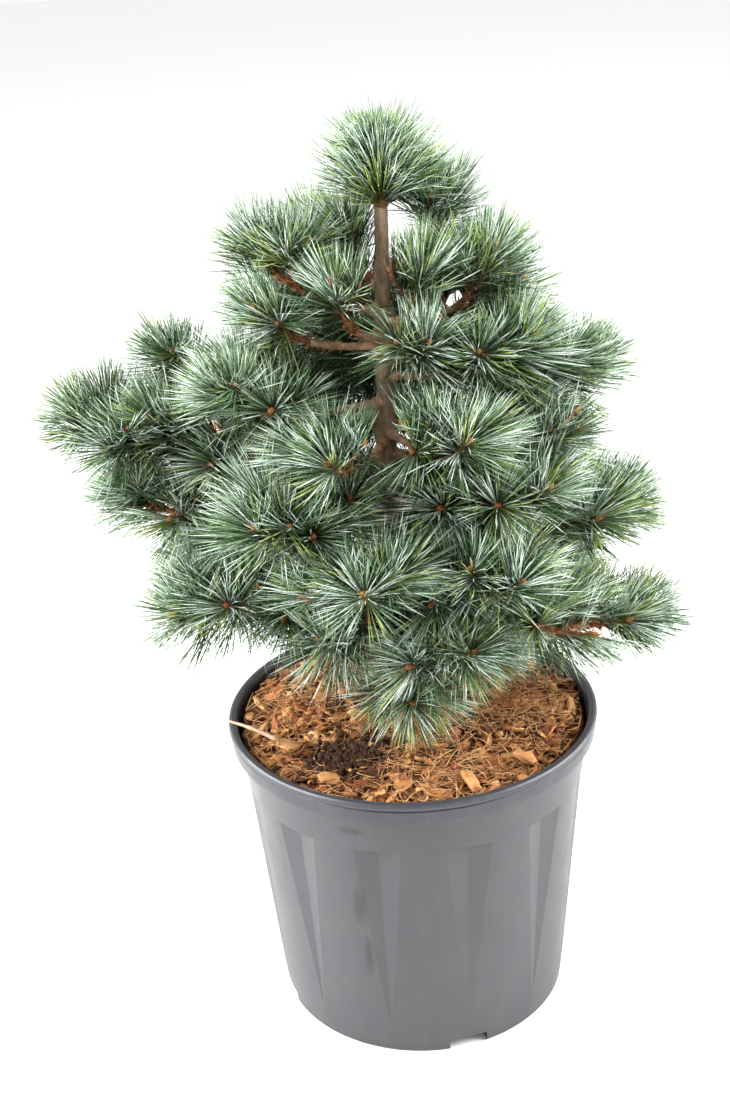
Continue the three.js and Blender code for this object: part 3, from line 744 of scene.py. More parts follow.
class Finish:
    """A material on its way: the Principled shader and the groups that feed it."""

    def __init__(self, name, roughness, specular=0.5):
        self.material = bpy.data.materials.new(name)
        self.material.use_nodes = True
        self.tree = self.material.node_tree
        self.shader = self.tree.nodes["Principled BSDF"]
        self.shader.inputs["Roughness"].default_value = roughness
        self.shader.inputs["Specular IOR Level"].default_value = specular

    def group(self, tree, **values):
        node = add_node(self.tree, "ShaderNodeGroup", node_tree=tree)
        for name, value in values.items():
            node.inputs[name.replace("_", " ")].default_value = value
        return node.outputs

    def mottle(self, light, dark, **values):
        color = self.group(MOTTLE, Light=(*light, 1), Dark=(*dark, 1), **values)["Color"]
        feed(self.shader, {"Base Color": color})
        return color

    def lay(self, under, mask, color):
        """One more colour laid over the colour below where the mask is."""
        mix = add_node(self.tree, "ShaderNodeMix", {"Factor": mask, "A": under}, data_type="RGBA")
        mix.inputs["B"].default_value = (*color, 1)
        feed(self.shader, {"Base Color": mix.outputs["Result"]})
        return mix.outputs["Result"]

    def speckle(self, under, color, **values):
        return self.lay(under, self.group(MOTTLE, **values)["Mask"], color)

    def relief(self, depth, **values):
        height = self.group(RELIEF, **values)["Height"]
        bump = add_node(self.tree, "ShaderNodeBump", {"Height": height})
        bump.inputs["Distance"].default_value = depth
        feed(self.shader, {"Normal": bump.outputs["Normal"]})


# Finishes
def pot_plastic(name, light, dark):
    finish = Finish(name, roughness=0.4, specular=0.45)
    color = finish.mottle(light, dark, Size=12, Stretch=(1, 1, 0.5))
    color = finish.speckle(color, DUST, Size=70, Low=0.5, High=0.85, Stretch=(1, 1, 0.4))
    color = finish.speckle(color, SPECKS, Size=620, Low=0.79, High=0.82)
    for middle, reach in STAINS:
        place = [each * MM for each in middle]
        shares = [1 / (each * MM) for each in reach]
        color = finish.lay(color, finish.group(STAIN, Middle=place, Shares=shares)["Mask"], STAIN_COLOR)
    patches = finish.group(MOTTLE, Size=30, Low=0.2, High=0.8)["Mask"]
    roughness = add_node(finish.tree, "ShaderNodeMapRange", {"Value": patches})
    roughness.inputs["To Min"].default_value, roughness.inputs["To Max"].default_value = SHEEN
    feed(finish.shader, {"Roughness": roughness.outputs["Result"]})
    finish.relief(0.00015, Grain_Size=1800, Lump_Size=120, Grain=0.6)
    return finish.material


def bark(name):
    light, dark, stretch = BARK_TONES[name]
    finish = Finish(name, roughness=0.82, specular=0.25)
    color = finish.mottle(light, dark, Size=160, Stretch=stretch)
    color = finish.speckle(color, LICHEN, Size=520, Low=0.6, High=0.72, Stretch=stretch)
    finish.speckle(color, CRACKS, Size=380, Low=0.62, High=0.74, Stretch=stretch)
    finish.relief(0.0009, Grain_Size=900, Lump_Size=260, Stretch=stretch, Grain=0.45)
    return finish.material


def mulch(name):
    finish = Finish(name, roughness=0.86, specular=0.2)
    color = finish.mottle(*MULCH_TONES[name], Size=150, Low=0.3, High=0.7)
    finish.speckle(color, MULCH_FLECKS, Size=700, Low=0.6, High=0.74)
    finish.relief(0.0008, Grain_Size=1400, Lump_Size=320, Grain=0.6)
    return finish.material


def plain_finish(name, color, roughness, specular=0.5):
    finish = Finish(name, roughness, specular)
    finish.shader.inputs["Base Color"].default_value = (*color, 1)
    return finish.material


# Hand tools: selecting by place, extruding a rim through a profile, applying modifiers
def deselect_all():
    bpy.ops.object.select_all(action="DESELECT")


def pick(*pieces):
    deselect_all()
    for piece in pieces:
        piece.select_set(True)
    bpy.context.view_layer.objects.active = pieces[0]


def select_points(piece, test):
    bpy.ops.mesh.select_mode(type="VERT")
    bpy.ops.mesh.select_all(action="DESELECT")
    mesh = bmesh.from_edit_mesh(piece.data)
    for vert in mesh.verts:
        vert.select = test(vert.co)
    mesh.select_flush(True)
    bmesh.update_edit_mesh(piece.data)


def raise_rim(profile, sides):
    """A closed round shell: a ring that is extruded through radii and heights in millimetres."""
    first_radius, first_height = profile[0]
    deselect_all()
    ring_place = (0, 0, first_height * MM)
    bpy.ops.mesh.primitive_circle_add(vertices=sides, radius=first_radius * MM, location=ring_place)
    piece = bpy.context.object
    bpy.ops.object.transform_apply()
    bpy.ops.object.mode_set(mode="EDIT")
    bpy.ops.mesh.select_mode(type="EDGE")
    bpy.ops.mesh.select_all(action="SELECT")
    for (radius, height), (next_radius, next_height) in zip(profile, profile[1:]):
        rise = (next_height - height) * MM
        bpy.ops.mesh.extrude_region_move(TRANSFORM_OT_translate={"value": (0, 0, rise)})
        scale = next_radius / radius
        bpy.ops.transform.resize(value=(scale, scale, 1), center_override=(0, 0, next_height * MM))
    bpy.ops.mesh.edge_face_add()

    def on_first_ring(co):
        return abs(co.z - first_height * MM) < SAME_PLACE and co.xy.length < first_radius * MM + SAME_PLACE

    select_points(piece, on_first_ring)
    bpy.ops.mesh.edge_face_add()
    bpy.ops.mesh.select_all(action="SELECT")
    bpy.ops.mesh.normals_make_consistent(inside=False)
    bpy.ops.object.mode_set(mode="OBJECT")
    return piece


def apply_modifier(piece, kind, **settings):
    pick(piece)
    modifier = piece.modifiers.new(kind.lower(), kind)
    for name, value in settings.items():
        setattr(modifier, name, value)
    bpy.ops.object.modifier_apply(modifier=modifier.name)


def finish_piece(piece, name, materials, nodes):
    """Names a piece, gives it its materials, and says what it stands for."""
    piece.name = name
    piece.data.name = name
    for material in materials:
        piece.data.materials.append(material)
    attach(piece, "root")
    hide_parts(*nodes)


# Pot
def wall_radius(height):
    return lerp(BASE_RADIUS, COLLAR_RADIUS, height / COLLAR_HEIGHT)


def pot_profile():
    """The pot's section: under the foot, up the outside, over the lip and down the inside."""
    here = ((0, 0),)
    places = (
        (BASE_RADIUS - FOOT_RING, 0, ((0, FOOT_RECESS), (1.2, 0))),
        (BASE_RADIUS, 0, ((-1.3, 0), (-0.2, 1.1))),
        (wall_radius(FLUTE_FOOT), FLUTE_FOOT, here),
        (wall_radius(FLUTE_TOP), FLUTE_TOP, ((0, 0), (STEP_OUT, 0.7))),
        (wall_radius(STEP_TOP), STEP_TOP, ((STEP_OUT, 0),)),
        (COLLAR_RADIUS, COLLAR_HEIGHT, ((1.2, -1), (3, 0))),
        (BAND_RADIUS, COLLAR_HEIGHT, ((-0.9, 0.2), (-0.1, 1.1), (0.2, 3))),
        (RIM_RADIUS, RIM_HEIGHT, LIP),
        (COLLAR_RADIUS, COLLAR_HEIGHT, ((-1.4, -2),)),
        (wall_radius(FLUTE_TOP) - WALL, FLUTE_TOP, here),
        (wall_radius(FLOOR_HEIGHT) - WALL, FLOOR_HEIGHT, here),
    )
    return [(radius + out, height + up) for radius, height, steps in places for out, up in steps]


def flute_offset(co):
    """How far a point's azimuth is from its flute's middle, in degrees."""
    pitch = 360 / FLUTE_COUNT
    return (math.degrees(math.atan2(co.y, co.x)) + 360) % pitch - pitch / 2


def press_flutes(pot):
    """Pulls the columns of each flute in and apart, wide at its top and to a point at its foot."""
    column = 360 / POT_SIDES
    bpy.ops.object.mode_set(mode="EDIT")

    def on_ring(co, height, offset):
        outside = co.xy.length > (wall_radius(height) - WALL / 2) * MM
        level = abs(co.z - height * MM) < SAME_PLACE
        return outside and level and abs(flute_offset(co) - offset) < SAME_AZIMUTH

    for height, half_angle in ((FLUTE_TOP, FLUTE_HALF_ANGLE), (FLUTE_FOOT, FLUTE_FOOT_HALF_ANGLE)):
        shoulder = lerp(2 * column, half_angle + column, FLUTE_SHOULDER)
        for offset, target in ((2 * column, shoulder), (column, half_angle)):
            for side in (-1, 1):
                select_points(pot, lambda co: on_ring(co, height, side * offset))
                turn = math.radians(side * (target - offset))
                bpy.ops.transform.rotate(value=-turn, orient_axis="Z", center_override=(0, 0, 0))
    select_points(pot, lambda co: on_ring(co, FLUTE_TOP, 0))
    press = 1 - FLUTE_DEPTH / wall_radius(FLUTE_TOP)
    bpy.ops.transform.resize(value=(press, press, 1), center_override=(0, 0, FLUTE_TOP * MM))
    bpy.ops.object.mode_set(mode="OBJECT")


def cut_notches(pot):
    cutters = []
    middle = (BASE_RADIUS - NOTCH_DEPTH / 2 + NOTCH_OVERCUT) * MM
    size = ((NOTCH_DEPTH + 2 * NOTCH_OVERCUT) * MM, NOTCH_WIDTH * MM, NOTCH_HEIGHT * 2 * MM)
    for index in range(NOTCH_COUNT):
        azimuth = math.radians(NOTCH_AZIMUTH + index * 360 / NOTCH_COUNT)
        deselect_all()
        place = (middle * math.cos(azimuth), middle * math.sin(azimuth), 0)
        bpy.ops.mesh.primitive_cube_add(size=1, location=place, rotation=(0, 0, azimuth), scale=size)
        cutters.append(bpy.context.object)
    pick(*cutters)
    bpy.ops.object.transform_apply()
    bpy.ops.object.join()
    cutter = bpy.context.object
    apply_modifier(cutter, "BEVEL", width=NOTCH_ROUNDING * MM, segments=3)
    apply_modifier(pot, "BOOLEAN", object=cutter, operation="DIFFERENCE", solver="EXACT")
    bpy.data.objects.remove(cutter)


def make_pot():
    pot = raise_rim(pot_profile(), POT_SIDES)
    press_flutes(pot)
    cut_notches(pot)
    pick(pot)
    bpy.ops.object.shade_smooth_by_angle(angle=math.radians(POT_SMOOTHING))
    # The second material is the darker copy of the wall's plastic: painted shade for the band and lip.
    materials = [pot_plastic("pot_wall", *WALL_TONES), pot_plastic("pot_band_painted_shade", *BAND_SHADE_TONES)]
    finish_piece(pot, "fluted_pot", materials, ["pot"])
    # Faces above the band's foot take the painted shade.
    for face in pot.data.polygons:
        face.material_index = int(face.center.z > BAND_FOOT * MM)


# Meshes from arrays
def mesh_from_arrays(name, vertices, faces, slots=None):
    """One mesh of many small shapes: faces holds an array of corners for each face size."""
    corners = np.concatenate([each.ravel() for each in faces])
    sizes = np.concatenate([np.full(len(each), each.shape[1]) for each in faces])
    mesh = bpy.data.meshes.new(name)
    mesh.vertices.add(len(vertices))
    mesh.vertices.foreach_set("co", (np.asarray(vertices) * MM).astype(np.float32).ravel())
    mesh.loops.add(len(corners))
    mesh.loops.foreach_set("vertex_index", corners.astype(np.int32))
    mesh.polygons.add(len(sizes))
    mesh.polygons.foreach_set("loop_start", np.concatenate([[0], np.cumsum(sizes)[:-1]]).astype(np.int32))
    if slots is not None:
        mesh.polygons.foreach_set("material_index", slots.astype(np.int32))
    mesh.update(calc_edges=True)
    piece = bpy.data.objects.new(name, mesh)
    bpy.context.scene.collection.objects.link(piece)
    return piece


def repeat_faces(faces, count, corners):
    """The same faces for each of a number of shapes that have that many corners each."""
    shift = np.arange(count)[:, None, None] * corners
    return (np.asarray(faces)[None] + shift).reshape(-1, len(faces[0]))


def across(headings):
    """Two directions at right angles to each heading, and to each other."""
    upright = np.abs(headings[..., 2:3]) > STEEP
    reference = np.where(upright, [0.0, 1.0, 0.0], [0.0, 0.0, 1.0])
    first = np.cross(reference, headings)
    first /= np.linalg.norm(first, axis=-1, keepdims=True)
    return first, np.cross(headings, first)


def around(headings, turns):
    """A direction at right angles to each heading, turned about it."""
    first, second = across(headings)
    return first * np.cos(turns) + second * np.sin(turns)


def tube_arrays(paths, radii, sides):
    """Tubes along paths with as many points each, closed at both ends."""
    count, rings = radii.shape
    headings = np.gradient(paths, axis=1)
    headings /= np.linalg.norm(headings, axis=-1, keepdims=True)
    turns = np.arange(sides)[:, None] * FULL_TURN / sides
    vertices = paths[:, :, None] + around(headings[:, :, None], turns) * radii[:, :, None, None]
    quads = []
    for level in range(rings - 1):
        for side in range(sides):
            following = (side + 1) % sides
            low, high = level * sides, (level + 1) * sides
            quads.append((low + side, low + following, high + following, high + side))
    last = (rings - 1) * sides
    caps = [tuple(range(sides - 1, -1, -1)), tuple(range(last, last + sides))]
    corners = rings * sides
    faces = [repeat_faces(quads, count, corners), repeat_faces(caps, count, corners)]
    return vertices.reshape(-1, 3), faces


def join_arrays(parts):
    """Joins (vertices, faces) pairs whose faces come in the same sizes."""
    vertices = np.concatenate([part[0] for part in parts])
    shifts = np.cumsum([0] + [len(part[0]) for part in parts[:-1]])
    faces = []
    for index in range(len(parts[0][1])):
        faces.append(np.concatenate([part[1][index] + shift for part, shift in zip(parts, shifts)]))
    return vertices, faces


# Twigs
class Twig:
    """A length of wood with its sprays: points from foot to bud and radii, in millimetres."""

    SHARES = np.linspace(0, 1, TWIG_RINGS)

    def __init__(self, kind, points, radii=None, spray_step=SPRAY_STEP):
        self.kind, self.points, self.radii, self.spray_step = kind, points, radii, spray_step
        steps = np.linalg.norm(np.diff(points, axis=0), axis=1)
        self.distances = np.concatenate([[0], np.cumsum(steps)])
        self.length = self.distances[-1]

    def at(self, distances):
        places = [np.interp(distances, self.distances, axis) for axis in self.points.T]
        return np.stack(places, axis=-1)

    def heading(self, distances):
        headings = self.at(distances + HEADING_STEP) - self.at(distances - HEADING_STEP)
        return headings / np.linalg.norm(headings, axis=1, keepdims=True)

    def radius(self, distances):
        return np.interp(distances / self.length, self.SHARES, self.radii)


def straight_twig(kind, shoot, radii):
    points = lerp(shoot.base[None], shoot.tip[None], Twig.SHARES[:, None])
    return Twig(kind, points, lerp(*TWIG_RADII[radii], Twig.SHARES))


def plan_twigs():
    twigs = []
    for limb in LIMB_PLANS:
        if limb.leader:
            points = limb.curve.along(lerp(LEADER_FOOT, limb.length, Twig.SHARES))
            radii = lerp(*TWIG_RADII["leader"], np.minimum(1, Twig.SHARES * LEADER_TAPER))
            twigs.append(Twig("leader", points, radii, LEADER_SPRAY_STEP))
            continue
        start = limb.length - limb.lead
        points = limb.curve.along(lerp(start, limb.length, Twig.SHARES))
        twigs.append(Twig("shoot", points, lerp(*TWIG_RADII["lead"], Twig.SHARES)))
        if limb.shoots > 1:
            kind = "back_stem" if limb.curve.end[1] > 0 else "stem"
            old_from, spray_step = OLD_NEEDLES[kind]
            stem = limb.curve.along(lerp(old_from * limb.length, start, Twig.SHARES))
            twigs.append(Twig(kind, stem, spray_step=spray_step))
    twigs += [straight_twig("shoot", shoot, "side") for shoot in SHOOTS if not shoot.lead]
    twigs += [straight_twig("spur", spur, "spur") for spur in SPURS]
    return twigs


# Needles in sprays
def reach_of_globe(places, directions, radii):
    """How far it is from each place to a globe about the origin, in its direction."""
    places, directions = places / radii, directions / radii
    speed = np.sum(directions ** 2, axis=1)
    ahead = np.sum(places * directions, axis=1)
    return (np.sqrt(np.maximum(ahead ** 2 - speed * (np.sum(places ** 2, axis=1) - 1), 0)) - ahead) / speed


def plan_sprays(twig, random):
    """Where each spray of a twig stands, which way it points, and how long its needles are."""
    tuft = TUFTS[twig.kind]
    start = tuft["start"]
    distances = np.arange(start * twig.length, twig.length - BARE_TIP, twig.spray_step)
    count = len(distances)
    distances = distances + random.uniform(-SPRAY_SHIFT, SPRAY_SHIFT, count)
    shares = np.clip(distances / twig.length, 0, 1)
    leafy_shares = np.clip((shares - start) / (1 - start), 0, 1)
    headings = twig.heading(distances)
    turns = random.uniform(0, 360) + np.arange(count) * SPRAY_TURN
    turns = np.radians(turns + random.uniform(-TURN_JITTER, TURN_JITTER, count))
    outward = around(headings, turns[:, None])
    splay = lerp(*tuft["splay"], leafy_shares) + random.uniform(-SPLAY_JITTER, SPLAY_JITTER, count)
    splay = np.radians(splay)[:, None]
    directions = headings * np.cos(splay) + outward * np.sin(splay) + [0, 0, NEEDLE_RISE]
    directions /= np.linalg.norm(directions, axis=1, keepdims=True)
    radius = STEM_RADIUS if twig.radii is None else twig.radius(shares * twig.length)
    roots = twig.at(distances) + outward * np.reshape(radius, (-1, 1)) * ROOT_SHARE
    variation = random.uniform(*TUFT_VARIATION)
    centre = twig.at(lerp(start, 1, GLOBE_PLACE) * twig.length) + tuft["shift"]
    reach = reach_of_globe(roots - centre, directions, tuft["globe"])
    lengths = np.minimum(tuft["length"], reach) * variation
    tones = random.choice(len(TONES), count, p=TONE_SHARES[twig.kind])
    # Some sprays near the foot of each tuft, but not on the leader, take the darkest tone as painted shade.
    shaded = (leafy_shares < SHADED_SHARE) & (random.uniform(0, 1, count) < SHADED_CHANCE)
    tones = np.where(shaded & (twig.kind != "leader"), PAINTED_SHADE_TONE, tones)
    return roots, directions, headings, lengths, tones


def spread_needles(sprays, random):
    """Five needles for each spray: roots, directions, backs, lengths, bends and tones."""
    roots, directions, headings, lengths, tones = sprays
    count = len(roots)
    steps = np.arange(NEEDLES_IN_SPRAY) * FULL_TURN / NEEDLES_IN_SPRAY
    turns = random.uniform(0, FULL_TURN, (count, 1)) + steps
    turns = turns + random.uniform(-NEEDLE_JITTER, NEEDLE_JITTER, turns.shape)
    outward = around(directions[:, None], turns[..., None])
    spread = np.radians(random.uniform(*NEEDLE_SPREAD, turns.shape))[..., None]
    needles = directions[:, None] * np.cos(spread) + outward * np.sin(spread)
    needles /= np.linalg.norm(needles, axis=-1, keepdims=True)
    backs = around(needles, random.uniform(0, FULL_TURN, turns.shape)[..., None])
    lengths = lengths[:, None] * random.uniform(*NEEDLE_LENGTHS, turns.shape)
    bends = headings[:, None] * random.uniform(*NEEDLE_BEND, turns.shape)[..., None]
    bends = bends + outward * random.uniform(-NEEDLE_SIDE_BEND, NEEDLE_SIDE_BEND, turns.shape)[..., None]
    bends = bends - [0, 0, NEEDLE_DROOP]
    starts = roots[:, None] + outward * NEEDLE_ROOM
    tones = np.broadcast_to(tones[:, None], turns.shape)
    return [array.reshape(turns.size, -1) for array in (starts, needles, backs, lengths, bends, tones)]


def needle_middle(starts, needles, lengths, bends, share):
    return starts + (needles * share + bends * share ** 2) * lengths


def needle_arrays(starts, needles, backs, lengths, bends, random):
    """Three-sided needles: a broad back and two inner faces, tapering to a point."""
    count = len(starts)
    sides = np.cross(backs, needles)
    widths = NEEDLE_WIDTH * random.uniform(*UNEVEN, (count, 1))
    rings = []
    for share, scale in zip(NEEDLE_RINGS, NEEDLE_RING_WIDTHS):
        middle = needle_middle(starts, needles, lengths, bends, share)
        width = widths * scale
        rings += [middle + sides * width * aside + backs * width * back for aside, back in NEEDLE_CORNERS]
    rings.append(needle_middle(starts, needles, lengths, bends, 1))
    vertices = np.stack(rings, axis=1).reshape(-1, 3)
    corners = len(rings)
    point = corners - 1
    last = point - 3
    quads = []
    for low in range(0, last, 3):
        for side in range(3):
            following = (side + 1) % 3
            quads.append((low + side, low + following, low + 3 + following, low + 3 + side))
    triangles = [(last + side, last + (side + 1) % 3, point) for side in range(3)] + [(0, 2, 1)]
    back_and_faces = [0, 1, 1] * (len(NEEDLE_RINGS) - 1)
    slots = np.concatenate([np.tile(back_and_faces, count), np.tile([0, 1, 1, 0], count)])
    return vertices, [repeat_faces(quads, count, corners), repeat_faces(triangles, count, corners)], slots


def surface_height(radius):
    """The height that needles keep above: the rim, the mulch inside it, or nothing outside."""
    inside = lerp(SOIL_TOP, SOIL_EDGE_HEIGHT, np.clip(radius / SOIL_RADIUS, 0, 1)) + MULCH_CLEAR
    on_rim = np.where(radius > RIM_RADIUS - RIM_INSIDE, RIM_HEIGHT + RIM_CLEAR, inside)
    return np.where(radius > RIM_RADIUS + RIM_OUTSIDE, NO_SURFACE, on_rim)


def clear_of_things(points):
    """Whether each needle, given by some of its points, stays off the pot, the mulch and the trunk."""
    above = points[..., 2] > surface_height(np.hypot(points[..., 0], points[..., 1]))
    heights = np.clip(points[..., 2], TRUNK_FOOT[2], TRUNK_TIP[2])
    offset = (points - TRUNK.at(trunk_share(heights)))[..., :2]
    off_trunk = np.linalg.norm(offset, axis=-1) > trunk_radius(heights) + BARK_CLEAR
    off_trunk |= points[..., 2] > TRUNK_TIP[2]
    return np.all(above & off_trunk, axis=1)


def seen_from(points, origin, direction):
    """How far each point is ahead of a place in a direction, and how far aside."""
    offset = points - origin
    ahead = offset @ direction
    return ahead, np.linalg.norm(offset - ahead[..., None] * direction, axis=-1)


def clear_of_buds(points, owners, twigs):
    """Whether each needle keeps out of the open cone ahead of every other shoot's bud."""
    clear = np.ones(len(points), bool)
    for index, twig in enumerate(twigs):
        if twig.kind != "shoot":
            continue
        ahead, aside = seen_from(points, twig.points[-1], unit(twig.points[-1] - twig.points[-2]))
        inside = (ahead > 0) & (ahead < BUD_VIEW) & (aside < BUD_VIEW_RADIUS + BUD_VIEW_SPREAD * ahead)
        clear &= ~(np.any(inside, axis=1) & (owners != index))
    return clear


def clear_of_gaps(points):
    """Whether each needle keeps out of the gaps through the crown."""
    eye = np.array(EYE) / MM
    clear = np.ones(len(points), bool)
    for place, half_width in CROWN_GAPS:
        _, aside = seen_from(points, eye, unit(place - eye))
        clear &= ~np.any(aside < half_width, axis=1)
    return clear


def clear_of_wood(points):
    """Whether each needle keeps out of the view of the wood that shows."""
    eye = np.array(EYE) / MM
    curves = {limb.name: limb.curve for limb in LIMB_PLANS} | {"trunk": TRUNK}
    clear = np.ones(len(points), bool)
    for name, start, end, half_width in BARE_WOOD:
        for place in curves[name].along(np.arange(start, end, BARE_WOOD_STEP)):
            near = np.flatnonzero(clear & (np.abs(points[:, 0, 0] - place[0]) < BARE_WOOD_NEAR))
            ahead, aside = seen_from(points[near], eye, unit(place - eye))
            before = (aside < half_width) & (ahead < np.linalg.norm(place - eye))
            clear[near[np.any(before, axis=1)]] = False
    return clear


def make_needles(twigs):
    random = np.random.default_rng(SEED)
    sprays = [plan_sprays(twig, random) for twig in twigs]
    owners = np.repeat(np.arange(len(twigs)), [len(spray[0]) * NEEDLES_IN_SPRAY for spray in sprays])
    sprays = [np.concatenate(arrays) for arrays in zip(*sprays)]
    starts, needles, backs, lengths, bends, tones = spread_needles(sprays, random)
    samples = [needle_middle(starts, needles, lengths, bends, share) for share in NEEDLE_SAMPLES]
    samples = np.stack(samples, axis=1)
    free = clear_of_things(samples) & clear_of_buds(samples, owners, twigs)
    free &= clear_of_wood(samples) & clear_of_gaps(samples)
    for index, (tone, colors) in enumerate(TONES.items()):
        chosen = np.flatnonzero(free & (tones[:, 0] == index))
        names = [f"needle_{tone}_{side}" for side in colors]
        materials = [plain_finish(*each, NEEDLE_ROUGHNESS) for each in zip(names, colors.values())]
        for part, some in enumerate(np.array_split(chosen, math.ceil(len(chosen) / NEEDLES_A_PIECE))):
            arrays = [each[some] for each in (starts, needles, backs, lengths, bends)]
            piece = mesh_from_arrays("needles", *needle_arrays(*arrays, random))
            finish_piece(piece, f"needles_in_{tone}_{part + 1}", materials, MASS_NODES)
    return sprays


# Sheaths at the foot of each spray, dry scales, twigs and buds
def finish_wood(name, arrays, material):
    piece = mesh_from_arrays(name, *arrays)
    finish_piece(piece, name, [material], MASS_NODES)
    return piece


def make_sheaths(sprays, random):
    roots, directions = sprays[0][::2], sprays[1][::2]
    paths = roots[:, None] + directions[:, None] * SHEATH_SHARES[:, None] * SHEATH_LENGTH
    radii = np.broadcast_to(SHEATH_RADII, (len(roots), 2)) * random.uniform(*UNEVEN, (len(roots), 1))
    sheath = plain_finish("sheath", **SHEATH_BROWN)
    finish_wood("spray_sheaths", tube_arrays(paths, radii, THIN_SIDES), sheath)


def make_scales(twigs, random):
    """Dry brown scales on the bare foot of each twig, on the bough before it and around its bud."""
    scaly = list(twigs)
    for limb in LIMB_PLANS[1:]:
        distances = limb.length - limb.lead - Twig.SHARES[::-1] * SCALY_BOUGH
        scaly.append(Twig("bough", limb.curve.along(distances), limb.radius(distances)))
    places, ways = [], []
    for twig in scaly:
        if twig.radii is None:
            continue
        on_foot, reach, at_bud = SCALES[twig.kind]
        near_foot = random.uniform(0, reach, on_foot)
        near_bud = twig.length - random.uniform(0, SCALES_BEFORE_BUD, at_bud)
        distances = np.concatenate([near_foot, near_bud])
        distances = np.clip(distances, SCALE_END_CLEAR, twig.length - SCALE_END_CLEAR)
        headings = twig.heading(distances)
        turns = random.uniform(0, FULL_TURN, (len(distances), 1))
        lean = np.radians(random.uniform(*SCALE_LEAN, turns.shape))
        outward = around(headings, turns)
        places.append(twig.at(distances) + outward * twig.radius(distances)[:, None] * SCALE_ROOT)
        ways.append(headings * np.cos(lean) + outward * np.sin(lean))
    places, ways = np.concatenate(places), np.concatenate(ways)
    one_each = (len(places), 1)
    paths = np.stack([places, places + ways * random.uniform(*SCALE_LENGTH, one_each)], axis=1)
    radii = SCALE_RADII * random.uniform(*SCALE_UNEVEN, one_each)
    scale = plain_finish("dry_scale", **DRY_BROWN)
    finish_wood("dry_scales", tube_arrays(paths, radii, THIN_SIDES), scale)


def make_twigs(twigs, random):
    woody = [twig for twig in twigs if twig.radii is not None]
    paths = np.stack([twig.points for twig in woody])
    radii = np.stack([twig.radii for twig in woody]) * random.uniform(*TWIG_KNOBS, (len(woody), TWIG_RINGS))
    pick(finish_wood("twigs", tube_arrays(paths, radii, TWIG_SIDES), bark("twig_bark")))
    bpy.ops.object.shade_smooth()


def make_buds(twigs, random):
    budded = [twig for twig in twigs if twig.radii is not None]
    tips = np.stack([twig.points[-1] for twig in budded])
    headings = np.stack([unit(twig.points[-1] - twig.points[-2]) for twig in budded])
    sizes = np.array([SPUR_BUD if twig.kind == "spur" else 1.0 for twig in budded])
    sizes = (sizes * random.uniform(*UNEVEN, len(budded)))[:, None]
    paths = tips[:, None] + headings[:, None] * BUD_PROFILE[:, :1] * BUD_LENGTH * sizes[..., None]
    vertices, faces = tube_arrays(paths, BUD_PROFILE[:, 1] * BUD_RADIUS * sizes, BUD_SIDES)
    uneven = random.uniform(-BUD_SCALES, BUD_SCALES, (len(vertices), 3))
    finish_wood("buds", (vertices + uneven, faces), plain_finish("bud_scales", **BUD_BROWN))


# Trunk and boughs, with the bark's relief
def bend_wood(points, radii, resolution):
    """A tapering limb: a curve with a thickness at each point, made a mesh."""
    curve = bpy.data.curves.new("limb", "CURVE")
    curve.dimensions = "3D"
    curve.bevel_depth = 1
    curve.bevel_resolution = resolution
    curve.use_fill_caps = True
    spline = curve.splines.new("POLY")
    spline.points.add(len(points) - 1)
    for place, point, radius in zip(spline.points, points, radii):
        place.co = (*(point * MM), 1)
        place.radius = radius * MM
    piece = bpy.data.objects.new("limb", curve)
    bpy.context.scene.collection.objects.link(piece)
    pick(piece)
    bpy.ops.object.convert(target="MESH")
    return bpy.context.object


def relief_texture(name, kind, size):
    texture = bpy.data.textures.new(name, kind)
    texture.noise_scale = size * MM
    return texture


def raise_bark(piece, depth, lump_size, scale_size):
    lumps = relief_texture("bark_lumps", "CLOUDS", lump_size)
    scales = relief_texture("bark_scales", "VORONOI", scale_size)
    apply_modifier(piece, "DISPLACE", texture=lumps, strength=depth * MM, mid_level=0.5)
    apply_modifier(piece, "DISPLACE", texture=scales, strength=-depth * RELIEF_IN_SCALES * MM, mid_level=0.3)
    pick(piece)
    bpy.ops.object.shade_smooth()


def swell(distances, place, swelling, reach):
    """How much thicker the wood is around one place along it."""
    return swelling * np.exp(-((distances - place) / reach) ** 2)


def make_trunk():
    heights = np.arange(TRUNK_FOOT[2], TRUNK_TIP[2] + PAST_END, TRUNK_STEP)
    radii = trunk_radius(heights)
    for row in LIMBS:
        radii = radii + swell(heights, row[2], **TRUNK_WHORL)
    trunk = bend_wood(TRUNK.at(trunk_share(heights)), radii, TRUNK_BEVEL)
    raise_bark(trunk, *TRUNK_RELIEF)
    finish_piece(trunk, "trunk_with_bark", [bark("trunk_bark")], ["trunk"])


def make_boughs():
    limbs = []
    for limb in LIMB_PLANS[1:]:
        distances = np.arange(0, limb.length - limb.lead + PAST_END, BOUGH_STEP)
        radii = limb.radius(distances) + swell(distances, **BOUGH_COLLAR)
        limbs.append(bend_wood(limb.curve.along(distances), radii, BOUGH_BEVEL))
    pick(*limbs)
    bpy.ops.object.join()
    boughs = bpy.context.object
    raise_bark(boughs, *BOUGH_RELIEF)
    finish_piece(boughs, "boughs_with_bark", [bark("bough_bark")], BOUGH_NODES + MASS_NODES)


# Soil and mulch
def mulch_height(x, y):
    share = np.clip((np.hypot(x, y) - SOIL_FLAT_RADIUS) / (SOIL_RADIUS - SOIL_FLAT_RADIUS), 0, 1)
    height = lerp(SOIL_TOP, SOIL_EDGE_HEIGHT, share)
    for mound in (HEAP, HOLLOW):
        away = (x - mound["middle"][0]) ** 2 + (y - mound["middle"][1]) ** 2
        height = height + mound["height"] * np.exp(-away / mound["spread"] ** 2)
    return height


